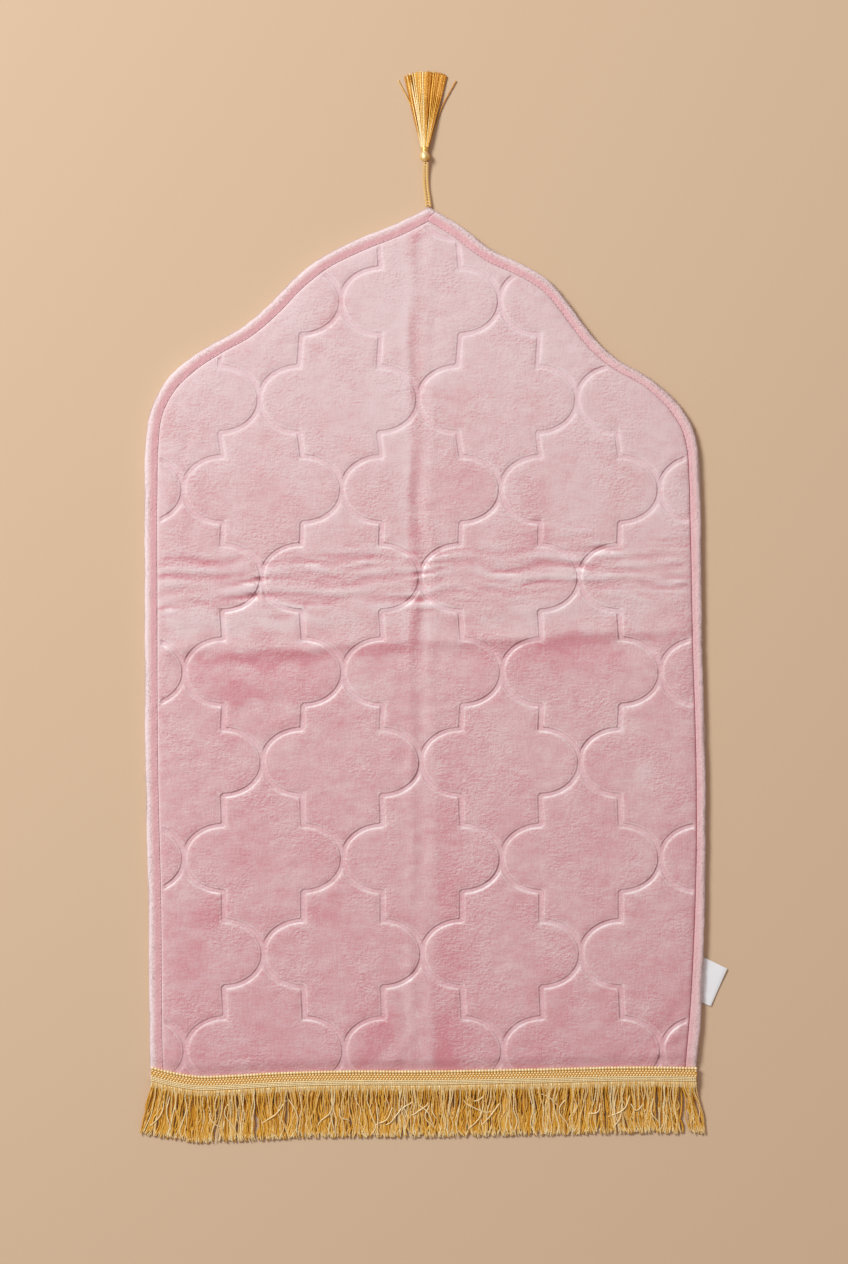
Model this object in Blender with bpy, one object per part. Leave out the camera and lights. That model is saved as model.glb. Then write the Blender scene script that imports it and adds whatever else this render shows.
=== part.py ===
"""A small padded prayer rug, lying flat with its face up.

The mat is one quilted velvet panel whose head is an ogee arch. A velvet tape is folded over
its sides and arch, a gold braid with a fringe is sewn along its foot, a blank cloth label is
sewn into the right side, and a gold tassel hangs from the tip on a doubled twisted cord.

X runs across the rug, Y along it towards the tip, Z up from the floor. The origin is the
middle of the mat's underside. Sizes are in millimetres and become metres in new_object().
"""

import math

import bmesh
import bpy
import numpy as np
from mathutils import Vector, geometry

MM = 0.001
COLLECTION = "prayer_rug"

# Outer edge of the binding, a row a point. Columns: across, along.
# The left edge runs up from the foot to the tip, the right edge down from the tip to the foot.
LEFT_EDGE = (
    (-222.3, -351.0),
    (-222.5, -339.5),
    (-222.7, -331.0),
    (-223.9, -205.8),
    (-226.2, -108.4),
    (-226.9, 40.0),
    (-226.9, 128.0),
    (-226.2, 161.2),
    (-222.3, 190.8),
    (-211.4, 212.6),
    (-192.8, 231.3),
    (-169.5, 246.8),
    (-146.2, 259.9),
    (-125.2, 277.8),
    (-105.8, 298.0),
    (-84.0, 315.1),
    (-52.9, 330.6),
    (-21.9, 343.1),
    (3.4, 356.1),
)
RIGHT_EDGE = (
    (3.4, 356.1),
    (27.5, 341.5),
    (55.5, 320.6),
    (77.2, 310.4),
    (91.2, 302.7),
    (103.6, 293.2),
    (116.0, 278.3),
    (128.5, 260.9),
    (141.0, 245.4),
    (153.4, 234.3),
    (184.4, 215.7),
    (197.2, 204.8),
    (209.2, 190.8),
    (217.0, 176.9),
    (220.9, 161.3),
    (222.8, 135.2),
    (223.6, 100.0),
    (224.8, -2.8),
    (227.4, -108.4),
    (226.4, -230.2),
    (223.3, -303.3),
    (220.9, -332.0),
    (220.4, -340.0),
    (219.8, -351.0),
)
EDGE_STEP = 50.0  # longest step along the edge
EDGE_STEPS_A_SPAN = 2

# Foot of the rug: front edge of the fringe's braid. Columns: across, along.
FOOT_EDGE = (
    (-221.9, -352.8),
    (-206.9, -356.6),
    (-185.4, -360.2),
    (-158.2, -359.7),
    (-123.3, -357.7),
    (-60.7, -356.1),
    (-3.9, -356.1),
    (89.5, -354.5),
    (182.9, -352.8),
    (219.8, -353.4),
)

# Panel
PANEL_HEIGHT = 7.0
GROOVE_DEPTH = 2.5
GROOVE_WIDTH = 3.8
SHOULDER_DROP = 0.75  # how far the pad's rim is below its crown
CROWN_REACH = 12.0  # from a groove to full height
MARGIN_TOP = 4.1  # the panel's thin margin inside the folded tape
MARGIN_BOTTOM = 1.3
MARGIN_INSET = 2.5
SEAM_INSET = 10.1
RIM_INSET = 12.6
RIM_HEIGHT = 6.3
PRESSED = 0.55  # what the braid's sewing leaves of the height above the margin
PRESS_START = 0.8  # from the braid's upper edge
PRESS_END = 9.0
FOOT_TUCK = 0.9  # from the braid's front edge to the panel's cut edge
FOOT_STATIONS = 24
CROWN_GRID = 25.0
CROWN_CLEAR = 7.5

# Quilting: a row of motifs a line. Columns: along, across (one node where side lobes meet).
QUILT_ROWS = (
    (356.5, -5.5),
    (279.7, -68.0),
    (200.2, -5.5),
    (127.1, -67.2),
    (55.6, -3.6),
    (-20.7, -66.4),
    (-93.8, -3.1),
    (-171.7, -66.6),
    (-248.9, -2.3),
    (-327.6, -65.4),
)
QUILT_PITCH = 128.6
LOBE_WIDTH = 32.15  # a quarter of the pitch, so lobes of neighbouring rows meet in line
LOBE_HEIGHT = 26.8
LOBE_STEPS = 5
QUILT_REACH = 3  # motifs each way from the middle
QUILT_INSET = 13.6  # grooves stop this far from the rug's edge

# Creases left by folding, as soft troughs (negative) or ridges across the rug.
# Columns: along at the left edge, along at the right edge, depth, half width.
CROSS_CREASES = (
    (-7.0, 11.5, -0.9, 7.0),
    (9.0, 27.0, 0.4, 8.0),
    (30.0, 36.0, -0.35, 6.0),
    (44.0, 49.0, 0.35, 6.0),
    (58.0, 62.0, -0.35, 6.0),
)
CREASE_STEP = 27.0
CREASE_HALF_SPAN = 208.0
CREASE_CLEAR = 3.2
CENTRE_FOLD_ACROSS = -3.0
CENTRE_FOLD_DEPTH = 0.5
CENTRE_FOLD_WIDTH = 16.0

# Binding: section of the folded tape. Columns: inset from the outer edge, height.
BINDING_SECTION = (
    (9.8, 5.0),
    (7.0, 6.3),
    (4.2, 6.7),
    (1.7, 5.9),
    (0.3, 4.2),
    (0.0, 2.2),
    (0.3, 0.7),
    (1.2, 0.0),
    (9.8, 0.0),
    (9.8, 1.0),
    (2.2, 1.0),
    (2.2, 4.55),
    (9.8, 4.55),
)

# Fringe: section of the braid, behind its front face. Columns: behind the front edge, height.
BRAID_BASE = 4.75
BRAID_FRONT = 1.1
BRAID_WIDTH = 12.4
BRAID_SECTION = (
    (3.2, 1.0),
    (7.2, 1.5),
    (10.4, 2.0),
    (12.4, 1.3),
)
BRAID_LEFT = -221.8
BRAID_RIGHT = 220.4
STRANDS = 163
STRANDS_A_COLUMN = 4
STRAND_WIDTH = 1.5
STRAND_HEIGHT = 1.2
# A strand's stations. Columns: share of its length, height of its underside.
STRAND_FALL = (
    (0.12, 2.6),
    (0.30, 0.0),
    (1.00, 0.0),
)
STRAND_LENGTH = 42.0
STRAND_LENGTH_SPREAD = 1.6
STRAND_SIDE_SPREAD = 0.25
STRAND_TIP_TAPER = 0.8
SPLAY_LEFT = 9.0
SPLAY_RIGHT = 8.0
SPLAY_REACH = 22.0
# Locks that lean together. Columns: lean at the tip, wavelength along the braid, phase.
STRAND_LEANS = (
    (1.3, 74.0, 0.4),
    (0.6, 31.0, 1.7),
)
SEED = 11

# Label: corners of the folded white cloth. Columns: across, along.
LABEL_ROOT = ((226.15, -252.0), (224.35, -288.6))
LABEL_FOLD = ((245.5, -261.3), (232.2, -292.1))
# Section of its two layers. Columns: share of the way to the fold, height.
LABEL_SECTION = (
    (0.0, 0.8),
    (0.3, 0.0),
    (0.96, 0.0),
    (1.0, 0.55),
    (0.96, 1.1),
    (0.3, 1.1),
    (0.0, 1.9),
    (0.0, 1.5),
    (0.3, 0.7),
    (0.93, 0.7),
    (0.93, 0.4),
    (0.3, 0.4),
    (0.0, 1.2),
)
LABEL_STATIONS = 4

# Tassel, as rings around its length. Columns: along, half width, half height, middle height.
TASSEL_ACROSS = 0.0
TASSEL_RINGS = (
    (393.3, 1.2, 1.2, 4.1),
    (394.2, 2.8, 2.8, 4.1),
    (395.6, 3.8, 3.8, 4.1),
    (397.2, 4.1, 4.1, 4.1),
    (398.9, 3.7, 3.7, 4.1),
    (400.3, 2.8, 2.6, 3.9),
    (401.2, 2.5, 2.3, 3.6),
    (402.3, 3.1, 2.7, 3.4),
    (404.4, 3.1, 2.6, 3.2),
)
SKIRT_ROOT_ALONG = 405.6
SKIRT_ROOT_HALF_WIDTH = 3.0
SKIRT_ROOT_HALF_HEIGHT = 2.2
SKIRT_ROOT_MIDDLE = 3.0
SKIRT_COLUMNS = 12
SKIRT_TIP_ALONG = 466.6
SKIRT_TIP_ARC = 3.6  # how much shorter the skirt is at its sides
SKIRT_TIP_HALF_WIDTH = 17.6
SKIRT_TIP_SPREAD = 0.6
LOCK_HEIGHT = 1.2
# Stations of a lock of threads in each layer. Columns: share of its length, underside, width.
LOWER_LOCK = (
    (0.30, 0.0, 0.62),
    (0.65, 0.0, 0.82),
    (1.00, 0.0, 1.00),
)
UPPER_LOCK = (
    (0.30, 1.5, 0.60),
    (0.60, 1.5, 0.74),
    (0.85, 0.0, 0.88),
    (1.00, 0.0, 0.98),
)
# The outermost lock each side strays from the skirt. Columns: across, along, underside, width.
LEFT_STRAY = (
    (-5.9, 420.0, 0.4, 0.6),
    (-10.4, 436.5, 0.0, 0.8),
    (-21.9, 460.1, 0.0, 0.9),
)
RIGHT_STRAY = (
    (6.3, 420.0, 1.5, 0.6),
    (12.8, 435.0, 0.0, 0.8),
    (25.4, 459.3, 0.0, 0.9),
)

# Cord: two twisted legs side by side, from the tip to the tassel's head.
# The route's middle line. Columns: across, along, height.
CORD_ROUTE = (
    (3.0, 356.9, 2.6),
    (2.7, 360.0, 2.3),
    (2.0, 366.0, 1.6),
    (1.2, 372.8, 1.35),
    (0.8, 379.6, 1.5),
    (0.8, 386.0, 2.3),
    (1.0, 392.9, 3.6),
)
CORD_LEG_OFFSET = 1.3
CORD_RADIUS = 1.12
CORD_VALLEY = 0.80  # radius between two plies, as a share of the crest's
CORD_PLIES = 3
CORD_LAY = 6.0  # length of one full turn of the twist
CORD_POINTS_A_TURN = 10

# Colours, roughness and metallic value of each material.
MATERIALS = {
    "pink_velvet": ((0.78, 0.47, 0.50, 1.0), 0.9, 0.0),
    "pink_binding": ((0.80, 0.50, 0.53, 1.0), 0.9, 0.0),
    "gold_thread": ((0.72, 0.48, 0.16, 1.0), 0.45, 0.3),
    "white_satin": ((0.9, 0.89, 0.88, 1.0), 0.5, 0.0),
}


def clear_scene():
    """Remove every object that the file starts with."""
    for ob in list(bpy.data.objects):
        bpy.data.objects.remove(ob, do_unlink=True)


def rug_collection():
    """The collection that holds the rug's pieces."""
    found = bpy.data.collections.get(COLLECTION)
    if found is None:
        found = bpy.data.collections.new(COLLECTION)
        bpy.context.scene.collection.children.link(found)
    return found


def material(name):
    """The Principled material of that name, from MATERIALS."""
    mat = bpy.data.materials.get(name)
    if mat is None:
        color, roughness, metallic = MATERIALS[name]
        mat = bpy.data.materials.new(name)
        mat.use_nodes = True
        shader = mat.node_tree.nodes["Principled BSDF"]
        shader.inputs["Base Color"].default_value = color
        shader.inputs["Roughness"].default_value = roughness
        shader.inputs["Metallic"].default_value = metallic
        mat.diffuse_color = color
    return mat


def new_object(name, bm, mat):
    """Turn a millimetre bmesh into the object of that name, in metres, faces outward."""
    bmesh.ops.recalc_face_normals(bm, faces=bm.faces)
    bmesh.ops.scale(bm, vec=(MM, MM, MM), verts=bm.verts)
    mesh = bpy.data.meshes.new(name)
    bm.to_mesh(mesh)
    bm.free()
    mesh.materials.append(material(mat))
    mesh.shade_smooth()
    mesh.set_sharp_from_angle(angle=math.radians(40))
    ob = bpy.data.objects.new(name, mesh)
    rug_collection().objects.link(ob)
    return ob


def smooth_path(points, steps_for_span):
    """Points on a smooth curve through the given ones, so many steps a span."""
    p = np.array(points, float)
    span = np.linalg.norm(np.diff(p, axis=0), axis=1)
    slope = np.diff(p, axis=0) / span[:, None]
    tangent = np.empty_like(p)
    tangent[0], tangent[-1] = slope[0], slope[-1]
    before, after = span[:-1, None], span[1:, None]
    tangent[1:-1] = (after * slope[:-1] + before * slope[1:]) / (before + after)
    out = [p[0]]
    for i, length in enumerate(span):
        steps = steps_for_span(length)
        for t in np.arange(1, steps + 1) / steps:
            out.append(
                (2 * t**3 - 3 * t**2 + 1) * p[i]
                + (t**3 - 2 * t**2 + t) * length * tangent[i]
                + (3 * t**2 - 2 * t**3) * p[i + 1]
                + (t**3 - t**2) * length * tangent[i + 1]
            )
    return np.array(out)


def edge_path():
    """The binding's outer edge, from the left foot over the tip to the right foot."""

    def steps(length):
        return max(EDGE_STEPS_A_SPAN, math.ceil(length / EDGE_STEP))

    left = smooth_path(LEFT_EDGE, steps)
    right = smooth_path(RIGHT_EDGE, steps)
    return np.vstack([left, right[1:]])


def inward(path):
    """Each point's step inward for one millimetre of inset, mitred at the tip."""
    along = np.diff(path, axis=0)
    along /= np.linalg.norm(along, axis=1)[:, None]
    side = np.column_stack([along[:, 1], -along[:, 0]])
    before = np.vstack([side[:1], side])
    after = np.vstack([side, side[-1:]])
    middle = before + after
    middle /= np.linalg.norm(middle, axis=1)[:, None]
    return middle / (middle * after).sum(1)[:, None]


def inset(path, distance):
    """The path moved inward by a distance."""
    return path + inward(path) * distance


def foot_front(across):
    """Where the braid's front edge lies, for values across the rug."""
    row = smooth_path(FOOT_EDGE, lambda length: 8)
    return np.interp(across, row[:, 0], row[:, 1])


def press(points):
    """How much of its height the mat keeps at each point, less under the braid."""
    above = points[:, 1] - (foot_front(points[:, 0]) + BRAID_WIDTH)
    ramp = np.clip((above - PRESS_START) / (PRESS_END - PRESS_START), 0, 1)
    return PRESSED + (1 - PRESSED) * ramp


def pressed(points, height):
    """A height above the margin, lowered where the braid's sewing presses the mat."""
    return np.where(
        height > MARGIN_BOTTOM,
        MARGIN_BOTTOM + (height - MARGIN_BOTTOM) * press(points),
        height,
    )


def segment_distance(points, segments):
    """Each point's distance to the nearest of the segments (start, end)."""
    nearest = np.full(len(points), np.inf)
    for start, end in segments:
        run = end - start
        share = np.clip((points - start) @ run / (run @ run), 0, 1)
        away = np.linalg.norm(points - start - share[:, None] * run, axis=1)
        nearest = np.minimum(nearest, away)
    return nearest


def inside(points, loop):
    """Whether each point lies inside the closed loop."""
    hit = np.zeros(len(points), bool)
    x, y = points[:, 0], points[:, 1]
    for a, b in zip(loop, np.roll(loop, -1, axis=0)):
        if a[1] == b[1]:
            continue
        crosses = (a[1] > y) != (b[1] > y)
        hit ^= crosses & (x < (b[0] - a[0]) * (y - a[1]) / (b[1] - a[1]) + a[0])
    return hit


# ---------------------------------------------------------------- quilting


def lobe(node, side, rise):
    """A quarter of a side lobe, from the node where two lobes meet to the lobe's shoulder."""
    turn = np.linspace(0, math.pi / 2, LOBE_STEPS + 1)
    across = node[0] + side * LOBE_WIDTH * (1 - np.cos(turn))
    along = node[1] + rise * LOBE_HEIGHT * np.sin(turn)
    return np.column_stack([across, along])


def quilt_lines():
    """The grooves' centre lines: the motifs' side lobes, and the steps between their rows."""
    lines = []
    upper_shoulders = []
    for along, across in QUILT_ROWS:
        lower_shoulders = []
        nodes = [across + QUILT_PITCH * k for k in range(-QUILT_REACH, QUILT_REACH + 1)]
        arcs = [
            (rise, lobe((x, along), side, rise))
            for x in nodes
            for side in (-1, 1)
            for rise in (-1, 1)
        ]
        for rise, arc in arcs:
            lines.append(arc)
            if rise < 0:
                lower_shoulders.append(arc[-1])
                continue
            near = [s for s in upper_shoulders if abs(s[0] - arc[-1][0]) < LOBE_WIDTH / 2]
            if near:
                lines.append(np.array([near[0], (near[0] + arc[-1]) / 2, arc[-1]]))
        upper_shoulders = lower_shoulders
    return lines


def clipped(line, keep):
    """The runs of a line whose points are kept, as lists of at least two points."""
    runs, run = [], []
    for point, kept in zip(line, keep):
        if kept:
            run.append(point)
            continue
        if len(run) > 1:
            runs.append(np.array(run))
        run = []
    if len(run) > 1:
        runs.append(np.array(run))
    return runs


def rails(line, distance):
    """The lines at a distance on both sides of an open line."""
    step = inward(line) * distance
    return [line + step, line - step]


# ---------------------------------------------------------------- panel


def crease_height(points):
    """The relief that folding left on the panel, in millimetres."""
    x, y = points[:, 0], points[:, 1]
    share = (x + CREASE_HALF_SPAN) / (2 * CREASE_HALF_SPAN)
    height = np.zeros(len(points))
    for left, right, depth, width in CROSS_CREASES:
        away = (y - left - (right - left) * share) / width
        height += depth * np.exp(-(away**2))
    away = (x - CENTRE_FOLD_ACROSS) / CENTRE_FOLD_WIDTH
    return height - CENTRE_FOLD_DEPTH * np.exp(-(away**2))


def panel_top(points, grooves, seam, edge):
    """The height of the panel's face at each point."""
    groove = segment_distance(points, grooves)
    border = segment_distance(points, edge)
    wall = GROOVE_WIDTH / 2
    rise = np.clip((groove - wall) / (CROWN_REACH - wall), 0, 1)
    shoulder = PANEL_HEIGHT - SHOULDER_DROP * (1 - rise) ** 2
    floor = PANEL_HEIGHT - GROOVE_DEPTH
    face = np.where(groove < wall, floor + (shoulder - floor) * groove / wall, shoulder)
    rim = np.interp(
        border,
        (SEAM_INSET, RIM_INSET, RIM_INSET + CROWN_REACH),
        (MARGIN_TOP, RIM_HEIGHT, PANEL_HEIGHT),
    )
    face = np.minimum(face, rim)
    inner = inside(points, seam) & (border > RIM_INSET)
    face = face + np.where(inner, crease_height(points), 0)
    return pressed(points, face)


def segments_of(lines):
    """Every straight piece of the lines, as (start, end)."""
    return [(a, b) for line in lines for a, b in zip(line, line[1:])]


def foot_line(left, right):
    """Points of the panel's cut edge between its two foot corners, from right to left."""
    across = np.linspace(right[0], left[0], FOOT_STATIONS + 2)[1:-1]
    return np.column_stack([across, foot_front(across) + FOOT_TUCK])


def panel_rules():
    """Lines that the face's mesh follows: grooves, their rims, creases, and the braid's edge."""
    stop = inset(edge_path(), QUILT_INSET)
    field = np.vstack([stop, foot_line(stop[0], stop[-1])])
    centres = [
        run for line in quilt_lines() for run in clipped(line, inside(line, field))
    ]
    grooves = segments_of(centres)
    lines = list(centres)
    for centre in centres:
        for rail in rails(centre, GROOVE_WIDTH / 2):
            clear = segment_distance(rail, grooves) > GROOVE_WIDTH / 2 * 0.95
            lines += clipped(rail, clear & inside(rail, field))
    across = np.arange(-CREASE_HALF_SPAN, CREASE_HALF_SPAN, CREASE_STEP)
    for left, right, _, _ in CROSS_CREASES:
        along = left + (right - left) * (across + CREASE_HALF_SPAN) / (2 * CREASE_HALF_SPAN)
        crease = np.column_stack([across, along])
        clear = segment_distance(crease, grooves) > CREASE_CLEAR
        lines += clipped(crease, clear & inside(crease, field))
    for above in (PRESS_START, PRESS_END):
        ramp = np.column_stack([across, foot_front(across) + BRAID_WIDTH + above])
        lines += clipped(ramp, inside(ramp, field))
    return lines, grooves, field


def crown_points(grooves, field, lines):
    """Points spread over the pads, clear of every line, in staggered rows."""
    rows = np.arange(-360.0, 360.0, CROWN_GRID * 0.87)
    points = np.array(
        [
            (x + CROWN_GRID / 2 * (k % 2), y)
            for k, y in enumerate(rows)
            for x in np.arange(-230.0, 230.0, CROWN_GRID)
        ]
    )
    away = segment_distance(points, segments_of(lines))
    border = np.vstack([field, field[:1]])
    clear = (away > CROWN_CLEAR) & (segment_distance(points, segments_of([border])) > CROWN_CLEAR)
    return points[clear & inside(points, field)]


def make_panel():
    """The quilted velvet pad: a faced relief above, a thin margin, a flat underside."""
    edge = edge_path()
    stations = len(edge)
    margin, seam, rim = (inset(edge, d) for d in (MARGIN_INSET, SEAM_INSET, RIM_INSET))
    foot = foot_line(margin[0], margin[-1])
    outer = np.vstack([margin, foot])
    lines, grooves, field = panel_rules()
    crown = crown_points(grooves, field, lines)

    flat = [tuple(p) for p in outer]
    links = []
    for line in [seam, rim] + lines:
        start = len(flat)
        flat += [tuple(p) for p in line]
        links += [(start + k, start + k + 1) for k in range(len(line) - 1)]
    flat += [tuple(p) for p in crown]
    loop = list(range(len(outer)))[::-1]
    points, _, faces, origins, _, within = geometry.delaunay_2d_cdt(
        [Vector(p) for p in flat], links, [loop], 0, 1e-4, True
    )
    faces = [face for face, owners in zip(faces, within) if owners]
    points = np.array([tuple(p) for p in points])
    seam_loop = np.vstack([seam, foot])
    height = panel_top(points, grooves, seam_loop, segments_of([edge]))

    bm = bmesh.new()
    top = [bm.verts.new((x, y, z)) for (x, y), z in zip(points, height)]
    for face in faces:
        bm.faces.new([top[k] for k in face])
    place = {original: k for k, group in enumerate(origins) for original in group}
    rim_top = [top[place[k]] for k in range(len(outer))]

    def ring(path, z):
        return [bm.verts.new((x, y, z)) for x, y in path]

    margin_low = ring(margin, MARGIN_BOTTOM)
    seam_high = ring(seam, MARGIN_BOTTOM)
    seam_low = ring(seam, 0)
    foot_low = ring(foot, 0)
    for upper, lower in (
        (rim_top[:stations], margin_low),
        (margin_low, seam_high),
        (seam_high, seam_low),
        (rim_top[stations:], foot_low),
    ):
        for k in range(len(lower) - 1):
            bm.faces.new((upper[k], upper[k + 1], lower[k + 1], lower[k]))
    for corner, next_foot in ((stations - 1, 0), (0, FOOT_STATIONS - 1)):
        bm.faces.new(
            (
                rim_top[corner],
                rim_top[stations + next_foot],
                foot_low[next_foot],
                seam_low[corner],
                seam_high[corner],
                margin_low[corner],
            )
        )
    bm.faces.new(seam_low + foot_low)
    return new_object("quilted_panel", bm, "pink_velvet")


# ---------------------------------------------------------------- lofted pieces


def loft(bm, rings):
    """Join rings of points into one closed body with a cap at each end."""
    rows = [[bm.verts.new(tuple(p)) for p in ring] for ring in rings]
    for a, b in zip(rows, rows[1:]):
        for k in range(len(a)):
            n = (k + 1) % len(a)
            bm.faces.new((a[k], a[n], b[n], b[k]))
    bm.faces.new(rows[0])
    bm.faces.new(rows[-1])


def make_binding():
    """The velvet tape folded over the mat's sides and arch, mitred at the tip."""
    edge = edge_path()
    step = inward(edge)
    columns = []
    for distance, height in BINDING_SECTION:
        place = edge + step * distance
        z = pressed(place, np.full(len(edge), height))
        columns.append(np.column_stack([place, z]))
    bm = bmesh.new()
    loft(bm, np.array(columns).transpose(1, 0, 2))
    return new_object("edge_binding", bm, "pink_binding")


def make_label():
    """The blank white label: one strip of cloth folded in two, lying beside the mat."""
    rings = []
    for share in np.linspace(0, 1, LABEL_STATIONS):
        root = np.array(LABEL_ROOT[0]) * (1 - share) + np.array(LABEL_ROOT[1]) * share
        fold = np.array(LABEL_FOLD[0]) * (1 - share) + np.array(LABEL_FOLD[1]) * share
        rings.append([(*(root + (fold - root) * out), z) for out, z in LABEL_SECTION])
    bm = bmesh.new()
    loft(bm, rings)
    return new_object("side_label", bm, "white_satin")


def make_cord_leg(name, side):
    """One leg of the tassel's cord: plies twisted together, as a section that turns."""
    route = np.array(CORD_ROUTE)
    route[:, 0] += side * CORD_LEG_OFFSET
    step = CORD_LAY / CORD_POINTS_A_TURN
    path = smooth_path(route, lambda length: math.ceil(length / step))
    ahead = np.gradient(path, axis=0)
    ahead /= np.linalg.norm(ahead, axis=1)[:, None]
    run = np.concatenate([[0], np.cumsum(np.linalg.norm(np.diff(path, axis=0), axis=1))])
    corners = 2 * CORD_PLIES
    rings = []
    for middle, forward, distance in zip(path, ahead, run):
        across = np.cross(forward, (0, 0, 1))
        across /= np.linalg.norm(across)
        upward = np.cross(across, forward)
        ring = []
        for k in range(corners):
            radius = CORD_RADIUS * (1 if k % 2 == 0 else CORD_VALLEY)
            turn = math.tau * (k / corners + distance / CORD_LAY)
            ring.append(middle + radius * (across * math.cos(turn) + upward * math.sin(turn)))
        rings.append(ring)
    bm = bmesh.new()
    loft(bm, rings)
    return new_object(name, bm, "gold_thread")


# ---------------------------------------------------------------- fringe


def strand_rings(index, across, spread):
    """The triangular sections of a strand after its root, lying level from its second one."""
    front = foot_front(across)
    length = STRAND_LENGTH + STRAND_LENGTH_SPREAD * spread[index, 0]
    lean = sum(a * math.sin(math.tau * across / wave + p) for a, wave, p in STRAND_LEANS)
    lean += STRAND_SIDE_SPREAD * spread[index, 1]
    lean -= SPLAY_LEFT * math.exp((BRAID_LEFT - across) / SPLAY_REACH)
    lean += SPLAY_RIGHT * math.exp((across - BRAID_RIGHT) / SPLAY_REACH)
    rings = []
    for share, base in STRAND_FALL:
        x = across + lean * share**1.3
        y = front - length * share
        half = STRAND_WIDTH / 2 * (1 - (1 - STRAND_TIP_TAPER) * share)
        rings.append(((x - half, y, base), (x + half, y, base), (x, y, base + STRAND_HEIGHT)))
    return rings


def extrude_rings(bm, root, rings):
    """Carry a strand from its root's vertices through its sections to a closed tip."""
    last = root
    for ring in rings:
        verts = [bm.verts.new(p) for p in ring]
        for k in range(len(verts)):
            n = (k + 1) % len(verts)
            bm.faces.new((last[k], last[n], verts[n], verts[k]))
        last = verts
    bm.faces.new(last)


def make_fringe():
    """The gold braid along the foot, with its strands fused to the braid's front face."""
    spread = np.random.default_rng(SEED).uniform(-1, 1, (STRANDS, 2))
    pitch = (BRAID_RIGHT - BRAID_LEFT) / STRANDS
    middles = BRAID_LEFT + pitch * (np.arange(STRANDS) + 0.5)
    top = BRAID_BASE + BRAID_FRONT
    bm = bmesh.new()

    def vert(across, behind, z):
        return bm.verts.new((across, foot_front(across) + behind, z))

    low = [vert(BRAID_LEFT, 0, BRAID_BASE)]
    high = [vert(BRAID_LEFT, 0, top)]
    for index, across in enumerate(middles):
        left = vert(across - STRAND_WIDTH / 2, 0, BRAID_BASE)
        right = vert(across + STRAND_WIDTH / 2, 0, BRAID_BASE)
        crest = vert(across, 0, top)
        bm.faces.new((low[-1], left, crest, high[-1]))
        extrude_rings(bm, (left, right, crest), strand_rings(index, across, spread))
        low += [left, right]
        high.append(crest)
    low.append(vert(BRAID_RIGHT, 0, BRAID_BASE))
    high.append(vert(BRAID_RIGHT, 0, top))
    bm.faces.new((low[-2], low[-1], high[-1], high[-2]))

    columns = range(0, STRANDS + 2, STRANDS_A_COLUMN)
    back = []
    for k in columns:
        across = high[k].co.x
        rows = [vert(across, behind, BRAID_BASE + z) for behind, z in BRAID_SECTION]
        rows.append(vert(across, BRAID_WIDTH, BRAID_BASE))
        back.append(rows)
    for n, k in enumerate(columns[:-1]):
        end = k + STRANDS_A_COLUMN
        here, there = back[n], back[n + 1]
        bm.faces.new(high[k : end + 1] + [there[0], here[0]])
        for a in range(len(here) - 1):
            bm.faces.new((here[a], there[a], there[a + 1], here[a + 1]))
        start = max(2 * k - 1, 0)
        bm.faces.new(low[start : 2 * end] + [there[-1], here[-1]])
    bm.faces.new([low[0], high[0]] + back[0])
    bm.faces.new([low[-1], high[-1]] + back[-1])
    return new_object("fringe", bm, "gold_thread")


# ---------------------------------------------------------------- tassel


def skirt_grid():
    """The points of the face that the tassel's locks grow from, in three rows."""
    rows = []
    for row in (-1, 0, 1):
        share = np.linspace(-1, 1, SKIRT_COLUMNS + 1)
        x = TASSEL_ACROSS + SKIRT_ROOT_HALF_WIDTH * share
        z = SKIRT_ROOT_MIDDLE + row * SKIRT_ROOT_HALF_HEIGHT * np.sqrt(1 - (0.88 * share) ** 2)
        rows.append([(a, SKIRT_ROOT_ALONG, b) for a, b in zip(x, z)])
    return rows


def box_ring(x, y, base, width):
    """A four-cornered section of a lock of threads."""
    half = width / 2
    return (
        (x - half, y, base),
        (x + half, y, base),
        (x + half, y, base + LOCK_HEIGHT),
        (x - half, y, base + LOCK_HEIGHT),
    )


def lock_rings(column, layer, root_x, spread):
    """The sections of one lock after its root; each layer fills the other's gaps."""
    if (column, layer) == (0, 0):
        return [box_ring(*row) for row in LEFT_STRAY]
    if (column, layer) == (SKIRT_COLUMNS - 1, 1):
        return [box_ring(*row) for row in RIGHT_STRAY]
    share = 2 * (column + 0.25 + 0.5 * layer) / SKIRT_COLUMNS - 1
    tip_x = TASSEL_ACROSS + SKIRT_TIP_HALF_WIDTH * share
    tip_y = SKIRT_TIP_ALONG - SKIRT_TIP_ARC * share**2 + SKIRT_TIP_SPREAD * spread
    rings = []
    for t, base, width in (LOWER_LOCK, UPPER_LOCK)[layer]:
        x = root_x + (tip_x - root_x) * t
        y = SKIRT_ROOT_ALONG + (tip_y - SKIRT_ROOT_ALONG) * t
        rings.append(box_ring(x, y, base, width))
    return rings


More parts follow.
